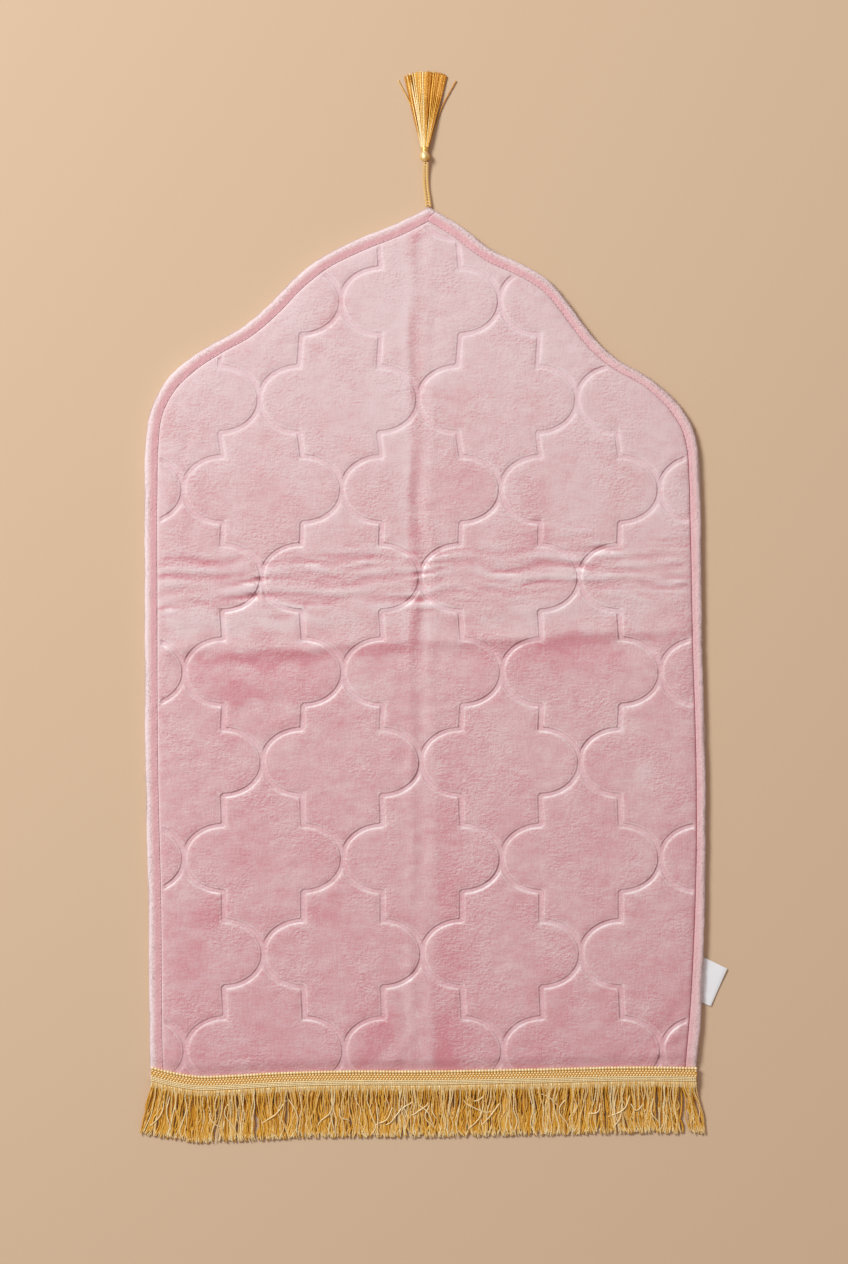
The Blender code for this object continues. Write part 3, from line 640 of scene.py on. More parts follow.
def tubes(paths, radii, sides, lobes=0, depth=0.0, lay=1.0, turn=0.0):
    """Threads bent along many paths of as many points, with lobes that twist along them.

    paths is (tubes, points, 3) and radii (tubes, points). Gives the points, the faces, and each
    point's share of its tube's length and its tube's number.
    """
    paths = np.asarray(paths, float)
    count, steps, _ = paths.shape
    ahead = np.gradient(paths, axis=1)
    ahead /= np.linalg.norm(ahead, axis=2)[..., None]
    across = np.cross(ahead, UP)
    across /= np.maximum(np.linalg.norm(across, axis=2), 1e-9)[..., None]
    upward = np.cross(across, ahead)
    step = np.linalg.norm(np.diff(paths, axis=1), axis=2)
    run = np.concatenate([np.zeros((count, 1)), np.cumsum(step, axis=1)], axis=1)
    around = math.tau * np.arange(sides) / sides
    angle = around[None, None, :] + (turn * np.ones(count))[:, None, None]
    twist = math.tau * run[..., None] / lay
    bulge = 1 + depth * np.cos(lobes * around)[None, None, :] if lobes else 1.0
    angle = angle + (twist if lobes else 0)
    reach = np.asarray(radii)[..., None] * bulge
    ring = (
        paths[:, :, None, :]
        + across[:, :, None, :] * (reach * np.cos(angle))[..., None]
        + upward[:, :, None, :] * (reach * np.sin(angle))[..., None]
    )
    faces = repeat(thread_blank(sides, steps), steps * sides, count)
    share = np.repeat((run / run[:, -1:]).ravel(), sides)
    number = np.repeat(np.arange(count), steps * sides)
    return ring.reshape(-1, 3), faces, share, number


def repeat(faces, stride, count):
    """The faces of a small mesh again for each of its copies."""
    return [[k * stride + v for v in face] for k in range(count) for face in faces]


def copies(verts, faces, frames):
    """Copies of a small mesh, each moved by (middle, three axes)."""
    out = [middle + verts @ np.array(axes) for middle, axes in frames]
    return np.vstack(out), repeat(faces, len(verts), len(frames))


def bead(divisions):
    """The points and faces of a ball of radius 1, modelled once for all its copies."""
    ob = add_alone(bpy.ops.mesh.primitive_ico_sphere_add, subdivisions=divisions, radius=1.0)
    verts = points_of(ob)
    faces = [list(face.vertices) for face in ob.data.polygons]
    bpy.data.meshes.remove(ob.data)
    return verts, faces


# ================================================================ materials


class Socket:
    """A node's output that takes part in plain arithmetic."""

    def __init__(self, nodes, out):
        self.nodes = nodes
        self.out = out

    def math(self, operation, *values):
        return self.nodes.make("ShaderNodeMath", values, operation=operation)

    def __add__(self, other):
        return self.math("ADD", self, other)

    __radd__ = __add__

    def __sub__(self, other):
        return self.math("SUBTRACT", self, other)

    def __rsub__(self, other):
        return self.math("SUBTRACT", other, self)

    def __mul__(self, other):
        return self.math("MULTIPLY", self, other)

    __rmul__ = __mul__

    def ramp(self, low, high):
        """0 below low, 1 above high, and a smooth ramp between."""
        made = self.nodes.tree.nodes.new("ShaderNodeMapRange")
        made.interpolation_type = "SMOOTHSTEP"
        self.nodes.feed(made.inputs["Value"], self)
        made.inputs["From Min"].default_value = low
        made.inputs["From Max"].default_value = high
        return Socket(self.nodes, made.outputs[0])


class Nodes:
    """One material's node tree, with a Principled shader."""

    def __init__(self, name):
        self.material = bpy.data.materials.new(name)
        self.material.use_nodes = True
        self.tree = self.material.node_tree
        self.shader = self.tree.nodes["Principled BSDF"]

    def feed(self, socket, value):
        """Put a socket, a number or a colour into a node's input."""
        if isinstance(value, Socket):
            self.tree.links.new(value.out, socket)
        else:
            socket.default_value = value

    def make(self, kind, inputs=(), output=0, **settings):
        """Add a node, set it, and feed its inputs in order or by name."""
        node = self.tree.nodes.new(kind)
        for key, value in settings.items():
            setattr(node, key, value)
        pairs = inputs.items() if isinstance(inputs, dict) else enumerate(inputs)
        for key, value in pairs:
            self.feed(node.inputs[key], value)
        return Socket(self, node.outputs[output])

    def place(self, stretch, shift):
        """The object's own coordinates in metres, shifted and then stretched."""
        at = self.make("ShaderNodeTexCoord", output="Object")
        at = self.make("ShaderNodeVectorMath", (at, shift), operation="ADD")
        return self.make("ShaderNodeVectorMath", (at, stretch), operation="MULTIPLY")

    def noise(
        self,
        scale,
        detail=2.0,
        rough=0.5,
        warp=0.0,
        stretch=(1.0, 1.0, 1.0),
        shift=(0.0, 0.0, 0.0),
    ):
        """Noise with that many blotches a metre, about 0 to 1."""
        return self.make(
            "ShaderNodeTexNoise",
            {
                "Vector": self.place(stretch, shift),
                "Scale": scale,
                "Detail": detail,
                "Roughness": rough,
                "Distortion": warp,
            },
        )

    def attribute(self, name):
        """A number kept on the mesh's points."""
        return self.make("ShaderNodeAttribute", output="Fac", attribute_name=name)

    def mix(self, factor, a, b):
        """From colour a to colour b."""
        node = self.tree.nodes.new("ShaderNodeMix")
        node.data_type = "RGBA"
        self.feed(node.inputs[0], factor)
        self.feed(node.inputs[6], a)
        self.feed(node.inputs[7], b)
        return Socket(self, node.outputs[2])

    def bump(self, height, distance, strength=1.0):
        """Bend the surface's normal by a height, in metres at full."""
        self.feed(
            self.shader.inputs["Normal"],
            self.make(
                "ShaderNodeBump", {"Height": height, "Distance": distance, "Strength": strength}
            ),
        )

    def set(self, **values):
        """Set the shader's inputs, by name with _ for a space."""
        for key, value in values.items():
            self.feed(self.shader.inputs[key.replace("_", " ")], value)
        return self.material


def opaque(colour):
    """A colour with full alpha, as a shader's socket takes it."""
    return (*colour, 1.0)


NAPPED = {"Roughness": 0.9, "Specular_IOR_Level": 0.2, "Sheen_Roughness": 0.4}


def velvet_material():
    """Short-pile velvet: brushed tones, ruffled patches, fine fibres and pressed grooves, with
    painted light and shade on the tones, on the ruffles and on the groove walls that face away from
    the light, and a painted glint on those that face it.
    """
    m = Nodes("pink_velvet")
    ruffle = {"scale": 430, "detail": 2.5, "rough": 0.6, "warp": 0.7, "stretch": (0.8, 1.2, 1.0)}
    # The ruffle noise a little towards and away from the light; their difference paints light and
    # shade on the ruffles.
    towards = m.noise(**ruffle, shift=(-0.00025, 0.00035, 0.0))
    away = m.noise(**ruffle, shift=(0.00025, -0.00035, 0.0))
    patch = m.noise(95, 3.0, 0.6, 0.6, (0.8, 1.3, 1.0))
    wale = m.noise(900, 1.0, 0.5, 0.0, (1.0, 0.14, 1.0))
    row = m.noise(900, 1.0, 0.5, 0.0, (0.14, 1.0, 1.0))
    fibre = m.noise(1700, 1.0, 0.5, 0.0, (0.7, 1.2, 1.0))
    ruffled = m.attribute("frost")
    lie = m.attribute("nap_and_painted_shade") + (patch - 0.5) * 0.4 + (fibre - 0.5) * 1.3
    lie = lie + (wale - 0.5) * 0.45 + (row - 0.5) * 0.45
    # Painted light and shade on the ruffles, and their own tone.
    lie = lie + (away - towards) * (ruffled * 1.6 + 0.4) + (away - 0.5) * ruffled * 0.6
    pile = m.mix(lie.ramp(-0.95, 0.95), opaque(VELVET_DEEP), opaque(VELVET_PALE))
    base = m.mix(m.attribute("groove") * 0.24, pile, opaque(GROOVE_PINK))
    # Painted shade on the walls that face away from the light.
    base = m.mix(m.attribute("painted_shade") * 0.6, base, opaque(SHADED_PINK))
    # Pale frayed pile tips along the grooves' upper edges, kept off the walls with painted shade.
    speckle = m.noise(620, 2.0, 0.6).ramp(0.3, 0.6)
    base = m.mix(m.attribute("frayed") * speckle * 0.32, base, opaque(FRAY_AND_PAINTED_GLINT_PINK))
    # Painted glint on the walls that face the light.
    base = m.mix(m.attribute("painted_glint") * (speckle * 0.4 + 0.6), base, opaque(FRAY_AND_PAINTED_GLINT_PINK))
    relief = away * (ruffled * 0.5 + 0.15) + patch * 0.2 + wale * 0.15 + row * 0.15 + fibre * 0.22
    m.bump(relief, 0.0007, 0.85)
    return m.set(Base_Color=base, Sheen_Weight=0.3, Sheen_Tint=opaque(VELVET_SHEEN), **NAPPED)


def binding_material():
    """The folded velvet tape: pale fuzz with painted light over its round, deeper along its seam,
    with painted shade in the deep band, at the seam's crevice and along the overlap at the tip.
    """
    m = Nodes("pink_binding")
    seam = m.attribute("seam")
    fleck = m.noise(560, 2.0, 0.6)
    fibre = m.noise(1800, 1.0, 0.5)
    blotch = m.noise(70, 2.0, 0.5)
    # seam holds the tape's deeper colour along its seam and painted shade in the deep band, at the
    # seam's crevice and along the overlap at the tip.
    lie = seam + (fleck - 0.5) * 0.8 + (fibre - 0.5) * 0.8 + (blotch - 0.5) * 0.6
    base = m.mix(lie.ramp(-0.1, 1.1), opaque(TAPE_PINK), opaque(TAPE_DEEP))
    # Pale fuzz over the outer round, which also paints light there.
    base = m.mix(m.attribute("outer") * 0.75, base, opaque(TAPE_PALE))
    m.bump(fibre * 0.6 + fleck, 0.0007, 0.9)
    return m.set(Base_Color=base, Sheen_Weight=0.4, Sheen_Tint=opaque(TAPE_SHEEN), **NAPPED)


def plain_material(name, base, roughness, **more):
    """A thread or cloth of one colour with a fine unevenness."""
    m = Nodes(name)
    fleck = m.noise(900, 2.0, 0.5)
    dark = opaque(c * 0.82 for c in base)
    light = opaque(min(1.0, c * 1.12) for c in base)
    m.bump(fleck, 0.0003, 0.5)
    return m.set(Base_Color=m.mix(fleck, dark, light), Roughness=roughness, **more)


def gold_material(name, roughness, metallic):
    """Lustrous gold thread: each strand has its own tone, its root can be pale, and on some pieces
    the tone also holds painted light and shade.
    """
    m = Nodes(name)
    tone = m.attribute("tone")
    fleck = m.noise(700, 2.0, 0.5)
    # tone holds each strand's own tone and, on some pieces, painted light and shade.
    lie = tone + (fleck - 0.5) * 0.5
    low = m.mix(lie.ramp(-0.1, 0.5), opaque(GOLD_DARK), opaque(GOLD_MIDDLE))
    base = m.mix(lie.ramp(0.4, 1.0), low, opaque(GOLD_PALE))
    m.bump(m.noise(2600, 1.0, 0.5), 0.0002, 0.6)
    return m.set(
        Base_Color=base,
        Roughness=roughness,
        Metallic=metallic,
        Specular_IOR_Level=0.75,
        Specular_Tint=opaque(GOLD_GLEAM),
    )


def satin_material():
    """Smooth woven ribbon, white."""
    m = Nodes("white_satin")
    weave = m.noise(2200, 1.0, 0.5, 0.0, (1.0, 0.25, 1.0))
    m.bump(weave, 0.0002, 0.5)
    base = m.mix(m.noise(60, 2.0), opaque(SATIN_SHADED), opaque(SATIN_WHITE))
    return m.set(Base_Color=base, Roughness=0.42, Sheen_Weight=0.2, Sheen_Roughness=0.3)


# ================================================================ panel


def lobe(node, side, rise):
    """A quarter of a side lobe, from the node where two lobes meet to the lobe's shoulder."""
    turn = np.linspace(0, math.pi / 2, LOBE_STEPS + 1)
    across = node[0] + side * LOBE_WIDTH * (1 - np.cos(turn))
    along = node[1] + rise * LOBE_HEIGHT * np.sin(turn)
    return np.column_stack([across, along])


def quilt_lines():
    """The grooves' centre lines: the motifs' side lobes, and the steps between their rows."""
    lines = []
    upper_shoulders = []
    for along, across in QUILT_ROWS:
        lower_shoulders = []
        nodes = [across + QUILT_PITCH * k for k in range(-QUILT_REACH, QUILT_REACH + 1)]
        arcs = [
            (rise, lobe((x, along), side, rise))
            for x in nodes
            for side in (-1, 1)
            for rise in (-1, 1)
        ]
        for rise, arc in arcs:
            lines.append(arc)
            if rise < 0:
                lower_shoulders.append(arc[-1])
                continue
            near = [s for s in upper_shoulders if abs(s[0] - arc[-1][0]) < LOBE_WIDTH / 2]
            if near:
                share = np.linspace(0, 1, STEP_STEPS + 1)[:, None]
                lines.append(near[0] * (1 - share) + arc[-1] * share)
        upper_shoulders = lower_shoulders
    return lines


def clipped(line, keep):
    """The runs of a line whose points are kept, as arrays of at least two points."""
    runs, run = [], []
    for point, kept in zip(line, keep):
        if kept:
            run.append(point)
            continue
        if len(run) > 1:
            runs.append(np.array(run))
        run = []
    if len(run) > 1:
        runs.append(np.array(run))
    return runs


def bell(distance, width):
    """1 at no distance, falling softly to 0."""
    return np.exp(-((distance / width) ** 2))


def fold_away(points, left, right):
    """How far above a long crease across the rug each point lies, with the crease's wander."""
    share = (points[:, 0] + CREASE_HALF_SPAN) / (2 * CREASE_HALF_SPAN)
    wander = 1.6 * waves(points * (1, 0.2), 80, SEED)
    return points[:, 1] - left - (right - left) * share + wander


def ripples(points):
    """Small uneven wrinkles that run across the rug, about -1 to 1."""
    rng = np.random.default_rng(SEED + 8)
    warp = 2.4 * waves(points * (1, 0.5), 75, SEED + 9)
    total = np.zeros(len(points))
    for _ in range(6):
        size = math.tau / rng.uniform(*RIPPLE_LENGTH)
        lean = rng.normal(0, 0.08)
        along = (points[:, 1] + warp) + lean * points[:, 0]
        here = smoothstep(waves(points * (0.5, 1.5), 50, int(rng.integers(1e6))), -0.8, 0.9)
        total += here * np.sin(along * size + rng.uniform(0, math.tau))
    return total / 1.9


def ripple_band(points):
    """1 in the rippled band above the fold and 0 away from it."""
    uneven = 6.0 * waves(points * (1, 0.2), 60, SEED + 12)
    return between(fold_away(points, *FOLD_LINE) + uneven, *RIPPLE_BAND)


def crease_height(points):
    """The relief that folding and handling left on the panel, in millimetres."""
    x = points[:, 0]
    height = np.zeros(len(points))
    for k, (left, right, depth, width) in enumerate(CROSS_CREASES):
        uneven = 0.75 + 0.4 * waves(points * (1, 0), 70, SEED + k)
        height += depth * uneven * bell(fold_away(points, left, right), width)
    wander = 1.8 * waves(points * (0, 1), 90, SEED + 13)
    for k, (across, depth, width) in enumerate(CENTRE_CREASES):
        uneven = 0.7 + 0.45 * waves(points * (0, 1), 80, SEED + 14 + k)
        height += depth * uneven * bell(x - across + wander, width)
    for x0, y0, x1, y1, depth, width in LOOSE_CREASES:
        start, run = np.array((x0, y0)), np.array((x1 - x0, y1 - y0))
        share = np.clip((points - start) @ run / (run @ run), -0.15, 1.15)
        bow = 2.0 * np.sin(math.pi * share)
        away = np.linalg.norm(points - start - share[:, None] * run, axis=1) + bow
        fade = np.sin(math.pi * (share + 0.15) / 1.3)
        height += depth * fade * bell(away, width)
    height += RIPPLE_HEIGHT * ripple_band(points) * ripples(points)
    faint = smoothstep(waves(points, 70, SEED + 15), -0.2, 1.2)
    return height + 0.16 * faint * ripples(points * 1.3)


def pile_tones_and_painted_shade(points):
    """The pile's larger tone patches, some of them painted light and shade, each a soft-edged
    uneven oval.
    """
    warp = np.column_stack([waves(points, 34, SEED + 48), waves(points, 34, SEED + 49)])
    moved = points + 4.0 * warp
    total = np.zeros(len(points))
    for across, along, half_width, half_length, turn, tone in PILE_TONES_AND_PAINTED_SHADE:
        away = moved - (across, along)
        c, s = math.cos(math.radians(turn)), math.sin(math.radians(turn))
        u = (away[:, 0] * c + away[:, 1] * s) / half_width
        v = (away[:, 1] * c - away[:, 0] * s) / half_length
        total += tone * (1 - smoothstep(np.hypot(u, v), 0.55, 1.35))
    return total


def nap_lie_and_painted_shade(points):
    """The pile's tone, above 0 pale and below 0 deep: its brushed patches and streaks, lighter
    above the fold and towards the tip and deeper towards the foot, with painted light and shade on
    the ripples, over the centre crease and in the tone patches.
    """
    x, y = points[:, 0], points[:, 1]
    away = fold_away(points, *FOLD_LINE)
    upper = smoothstep(away, -4, 2)
    lie = 0.06 + 0.14 * upper + 0.30 * smoothstep(y, 30, 280) - 0.12 * smoothstep(-y, 60, 330)
    # Painted light on the ripples' crests and painted shade in their troughs, in step with their
    # relief.
    lie += 0.44 * ripple_band(points) * ripples(points)
    across = x + 1.5 * waves(points * (0.3, 1), 60, SEED + 40)
    uneven = 0.75 + 0.4 * waves(points * (0.2, 1), 70, SEED + 47)
    # Painted shade over the centre crease's hollow and painted light on its left flank, above the
    # fold.
    lie -= 0.34 * between(across, -13, -11, -7, 2) * uneven * upper
    lie += 0.14 * bell(across + 16, 5) * upper
    lower = smoothstep(-away, 60, 100)
    lie += 0.05 * lower * between(across, -22, -16, 5, 9)
    lie -= 0.17 * lower * uneven * between(across, 6, 16, 22, 38)
    lie += 0.06 * waves(points, 46, SEED + 42) + 0.06 * waves(points * (0.8, 1.3), 19, SEED + 43)
    return lie + 0.05 * waves(points * (0.7, 1.4), 9, SEED + 44) + pile_tones_and_painted_shade(points)


def face_slopes(points, grooves, borders):
    """The face's slope across and along the rug at each point."""
    slopes = []
    for step in ((SLOPE_STEP, 0.0), (0.0, SLOPE_STEP)):
        ahead, behind = (
            face_height(place, grooves(place), borders(place))
            for place in (points + step, points - step)
        )
        slopes.append((ahead - behind) / (2 * SLOPE_STEP))
    return np.column_stack(slopes)


def frost(points):
    """Where the pile is ruffled, from 0 to 1; there the shader gives stronger relief and stronger
    painted light and shade on the ruffles.
    """
    away = fold_away(points, *FOLD_LINE)
    lower = smoothstep(-away, 20, 60)
    x = points[:, 0]
    ruffled = 0.32 + 0.4 * waves(points, 62, SEED + 45) + 0.25 * waves(points, 24, SEED + 46)
    ruffled += 0.3 * ripple_band(points) + 0.15 * smoothstep(points[:, 1], 20, 80)
    ruffled += 0.5 * lower * between(x, 6, 9, 45, 70)
    ruffled -= 0.9 * lower * between(x, -24, -15, 4, 8)
    return np.clip(ruffled, 0, 1)


def face_height(points, groove, border):
    """The height of the panel's face at each point, from its distances to grooves and edge."""
    crown = CROWN_DROP * (1 - np.clip(groove / CROWN_REACH, 0, 1)) ** 2
    shoulder = SHOULDER_DROP * (1 - smoothstep(groove, CHANNEL_HALF, SHOULDER_HALF))
    wall = np.clip((CHANNEL_HALF - groove) / (CHANNEL_HALF - CHANNEL_FLOOR), 0, 1)
    ends = smoothstep(border, RIM_INSET - 2, RIM_INSET + 2)
    depth = CHANNEL_DEPTH * (0.9 + 0.15 * waves(points, 60, SEED + 50))
    depth *= 1 - 0.2 * smoothstep(points[:, 1], 80, 180)
    face = PANEL_HEIGHT - crown - shoulder - depth * wall * ends
    rim = np.interp(
        border,
        (SEAM_INSET, LIP_INSET, BROW_INSET, RIM_INSET, RIM_INSET + CROWN_REACH),
        (MARGIN_TOP, LIP_HEIGHT, BROW_HEIGHT, RIM_HEIGHT, PANEL_HEIGHT + 0.1),
    )
    inner = smoothstep(border, SEAM_INSET, RIM_INSET + 6)
    relief = crease_height(points)
    relief += 0.08 * waves(points, 15, SEED + 1) + 0.05 * waves(points, 7.5, SEED + 2)
    pucker = 0.3 * waves(points, 11, SEED + 3) * bell(border - RIM_INSET, 7)
    return pressed(points, np.minimum(face, rim) + inner * (relief + pucker))


def face_lines(centres, grooves, field):
    """The grooves' centre lines, and the rails beside them that their walls follow."""
    lines = list(centres)
    for distance in GROOVE_RAILS:
        for centre in centres:
            step = inward(centre) * distance
            for rail in (centre + step, centre - step):
                clear = grooves(rail) > distance * RAIL_CLEARANCE
                lines += clipped(rail, clear & inside(rail, field))
    return lines


def face_grid(grooves, borders, field):
    """An even grid of points over the face, clear of its grooves and its rim."""
    grid = [
        (x + FACE_GRID / 2 * (k % 2), y)
        for k, y in enumerate(np.arange(*FACE_ALONG, FACE_GRID * GRID_ROW))
        for x in np.arange(*FACE_ACROSS, FACE_GRID)
    ]
    grid = np.array(grid)
    grid = grid[inside(grid, field)]
    clear = grooves(grid) > GROOVE_RAILS[-1] + GRID_OFF_GROOVES
    return grid[clear & (borders(grid) > RIM_INSET + GRID_OFF_RIM)]


def flat_mesh(outline, lines, grid):
    """Points and faces within the outline that follow the lines, and the outline's points."""
    flat = [tuple(p) for p in outline]
    links = []
    for line in lines:
        start = len(flat)
        flat += [tuple(p) for p in line]
        links += [(start + k, start + k + 1) for k in range(len(line) - 1)]
    flat += [tuple(p) for p in grid]
    loop = list(range(len(outline)))[::-1]
    points, _, faces, origins, _, within = geometry.delaunay_2d_cdt(
        [Vector(p) for p in flat], links, [loop], 0, 1e-4, True
    )
    faces = [face for face, owners in zip(faces, within) if owners]
    place = {original: k for k, group in enumerate(origins) for original in group}
    return np.array([tuple(p) for p in points]), faces, [place[k] for k in range(len(outline))]


def face_marks(points, groove, border, slopes):
    """What the velvet's shader reads at each point of the face, painted glint and painted shade
    among it.
    """
    # A painted glint on the walls that face the light, weaker towards the tip.
    painted_glint = np.clip((-slopes @ GLINT_LEAN - 0.4) / 0.5, 0, 1)
    painted_glint *= 1 - 0.6 * smoothstep(points[:, 1], 60, 160)
    # Painted shade on the walls that rise towards the light, less near the rim.
    painted_shade = np.clip((slopes @ LIGHT_LEAN - 0.3) / 0.5, 0, 1)
    painted_shade *= 0.3 + 0.7 * smoothstep(border, BROW_INSET, RIM_INSET + 1.0)
    # Painted shade where the face rises towards the light, and painted light where it falls.
    nap_and_painted_shade = nap_lie_and_painted_shade(points) + np.clip(-slopes @ LIGHT_LEAN * PAINTED_SLOPE_SHADING, -0.6, 0.2)
    # Painted shade on faces that rise towards the right, except on glinting walls, and less near
    # the rim.
    inner = 0.3 + 0.7 * smoothstep(border, RIM_INSET, RIM_INSET + 1.5)
    nap_and_painted_shade -= 0.6 * smoothstep(slopes[:, 0], 0.3, 0.9) * (1 - painted_glint) * inner
    return {
        "groove": 1 - smoothstep(groove, CHANNEL_FLOOR, CHANNEL_HALF),
        "nap_and_painted_shade": nap_and_painted_shade,
        "painted_glint": painted_glint,
        "painted_shade": painted_shade,
        "frayed": bell(groove - FRAY_HALF, 0.5) * (1 - painted_shade) * smoothstep(border, 11.0, 13.0),
        "frost": frost(points),
    }


def make_panel(material):
    """The quilted velvet panel, as one closed mesh whose edges follow every groove."""
    edge = edge_path()
    stations = len(edge)
    margin, seam, lip, brow, rim = (
        tape_line(edge, d) for d in (MARGIN_INSET, SEAM_INSET, LIP_INSET, BROW_INSET, RIM_INSET)
    )
    across = np.linspace(margin[-1][0], margin[0][0], FOOT_POINTS)[1:-1]
    foot = np.column_stack([across, foot_front(across) + FOOT_TUCK])
    field = np.vstack([tape_line(edge, QUILT_INSET), foot])

    centres = [run for line in quilt_lines() for run in clipped(line, inside(line, field))]
    grooves = Nearness(centres, GROOVE_SAMPLING)
    rims = Nearness([edge], EDGE_SAMPLING)

    def borders(places):
        """How far in from the edge each place lies, in the tape's full width."""
        nearest, distance = rims.nearest(places)
        return distance / tape_share(nearest)

    lines = [seam, lip, brow, rim] + face_lines(centres, grooves, field)
    grid = face_grid(grooves, borders, field)
    points, faces, rim_top = flat_mesh(np.vstack([margin, foot]), lines, grid)
    groove, border = grooves(points), borders(points)
    slopes = face_slopes(points, grooves, borders)
    marks = face_marks(points, groove, border, slopes)
    verts = [np.column_stack([points, face_height(points, groove, border)])]

    def ring(path, z):
        """Add a ring of points below the face, and give their numbers."""
        start = sum(len(part) for part in verts)
        verts.append(np.column_stack([path, np.full(len(path), z)]))
        return list(range(start, start + len(path)))

    margin_low = ring(margin, MARGIN_BOTTOM)
    seam_high = ring(seam, MARGIN_BOTTOM)
    seam_low = ring(seam, 0)
    foot_low = ring(foot, 0)
    for upper, lower in (
        (rim_top[:stations], margin_low),
        (margin_low, seam_high),
        (seam_high, seam_low),
        (rim_top[stations:], foot_low),
    ):
        faces += [(upper[k], upper[k + 1], lower[k + 1], lower[k]) for k in range(len(lower) - 1)]
    right_end = (seam_low[-1], seam_high[-1], margin_low[-1])
    left_end = (margin_low[0], seam_high[0], seam_low[0])
    faces.append((foot_low[0], *right_end, rim_top[stations - 1], rim_top[stations]))
    faces.append((*left_end, foot_low[-1], rim_top[-1], rim_top[0]))
    faces.append(seam_low + foot_low)

    verts = np.vstack(verts)
    below = np.zeros(len(verts) - len(points))
    marks = {name: np.concatenate([values, below]) for name, values in marks.items()}
    ob = mesh_object("rug_panel", verts, faces, material, marks)
    ob.data.set_sharp_from_angle(angle=math.radians(75))
    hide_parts("quilted_panel")
    return ob


# ================================================================ binding


def section_points():
    """The tape's section with its outer round made smooth."""
    rounded = smooth_path(BINDING_SECTION[:9], 0.7)
    return np.vstack([rounded, BINDING_SECTION[9:]])


def make_binding(material):
    """The velvet tape folded over the edge, puckered by its sewing."""
    coarse = edge_path()
    reached = run_length(coarse)
    join_at = reached[np.argmax(coarse[:, 1])] + JOIN_ACROSS
    run = np.union1d(reached, join_at + np.arange(-3.0, 3.1, 0.3))
    edge = read_off(run, reached, coarse)
    step = read_off(run, reached, inward(coarse))
    along = np.column_stack([run, np.zeros(len(run))])
    pucker = waves(along, 9.0, SEED + 5)
    swell = waves(along, 60.0, SEED + 6)
    stray = 0.3 * waves(along, 42.0, SEED + 51) + 0.16 * waves(along, 9.0, SEED + 52)
    share = tape_share(edge)
    straight = 1 - smoothstep(edge[:, 1], 235, 300)
    side = (edge[:, 0] > 0) * straight
    section = section_points()
    verts, seam, outer = [], [], []
    for distance, height in section:
        over = smoothstep(height, 1.2, 5.0)
        outermost = 1 - smoothstep(distance, 1.5, 5.0)
        place = edge + step * (distance * share + stray * outermost)[:, None]
        join = bell(run - join_at - JOIN_LEAN * (distance - 5.0), 0.55)
        lift = over * (0.28 * pucker * smoothstep(distance, 2, 9) + 0.2 * swell - 0.9 * join)
        lift += 0.3 * side * over * smoothstep(distance, 6, 9)
        verts.append(np.column_stack([place, pressed(place, np.full(len(edge), height)) + lift]))
        # The deep band is partly painted shade, and on the straight sides a dark line at the seam's
        # crevice is painted shade.
        band = smoothstep(distance, 3.4, 6.2) * (1 - 0.25 * smoothstep(distance, 7.8, 9.3))
        band += 0.7 * straight * smoothstep(distance, 8.6, 9.5)
        # Down the right side: the tape's tone, with a painted shade line at the seam's crevice.
        right_tone_and_seam_shade = 0.6 * smoothstep(distance, 1.5, 7.0) + 0.8 * smoothstep(distance, 8.9, 9.5)
        # The overlap at the tip gets a painted shade line along its step.
        seam.append((band * (1 - side) + right_tone_and_seam_shade * side + 1.2 * join) * over)
        # Pale fuzz and painted light over the outer round, weaker down the right side.
        outer.append((1 - 0.4 * side) * (1 - smoothstep(distance, 0.8, 4.4)))
    rows = np.array(verts).transpose(1, 0, 2)
    count = len(section)
    base = np.arange(len(edge) * count).reshape(len(edge), count)
    after = np.roll(base, -1, axis=1)
    quads = np.stack([base[:-1], base[1:], after[1:], after[:-1]], axis=-1)
    faces = quads.reshape(-1, 4).tolist() + [base[0].tolist(), base[-1][::-1].tolist()]
    ob = mesh_object(
        "rug_binding",
        rows.reshape(-1, 3),
        faces,
        material,
        {"seam": np.array(seam).T.ravel(), "outer": np.array(outer).T.ravel()},
    )
    ob.data.set_sharp_from_angle(angle=math.radians(60))
    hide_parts("edge_binding")
    return ob


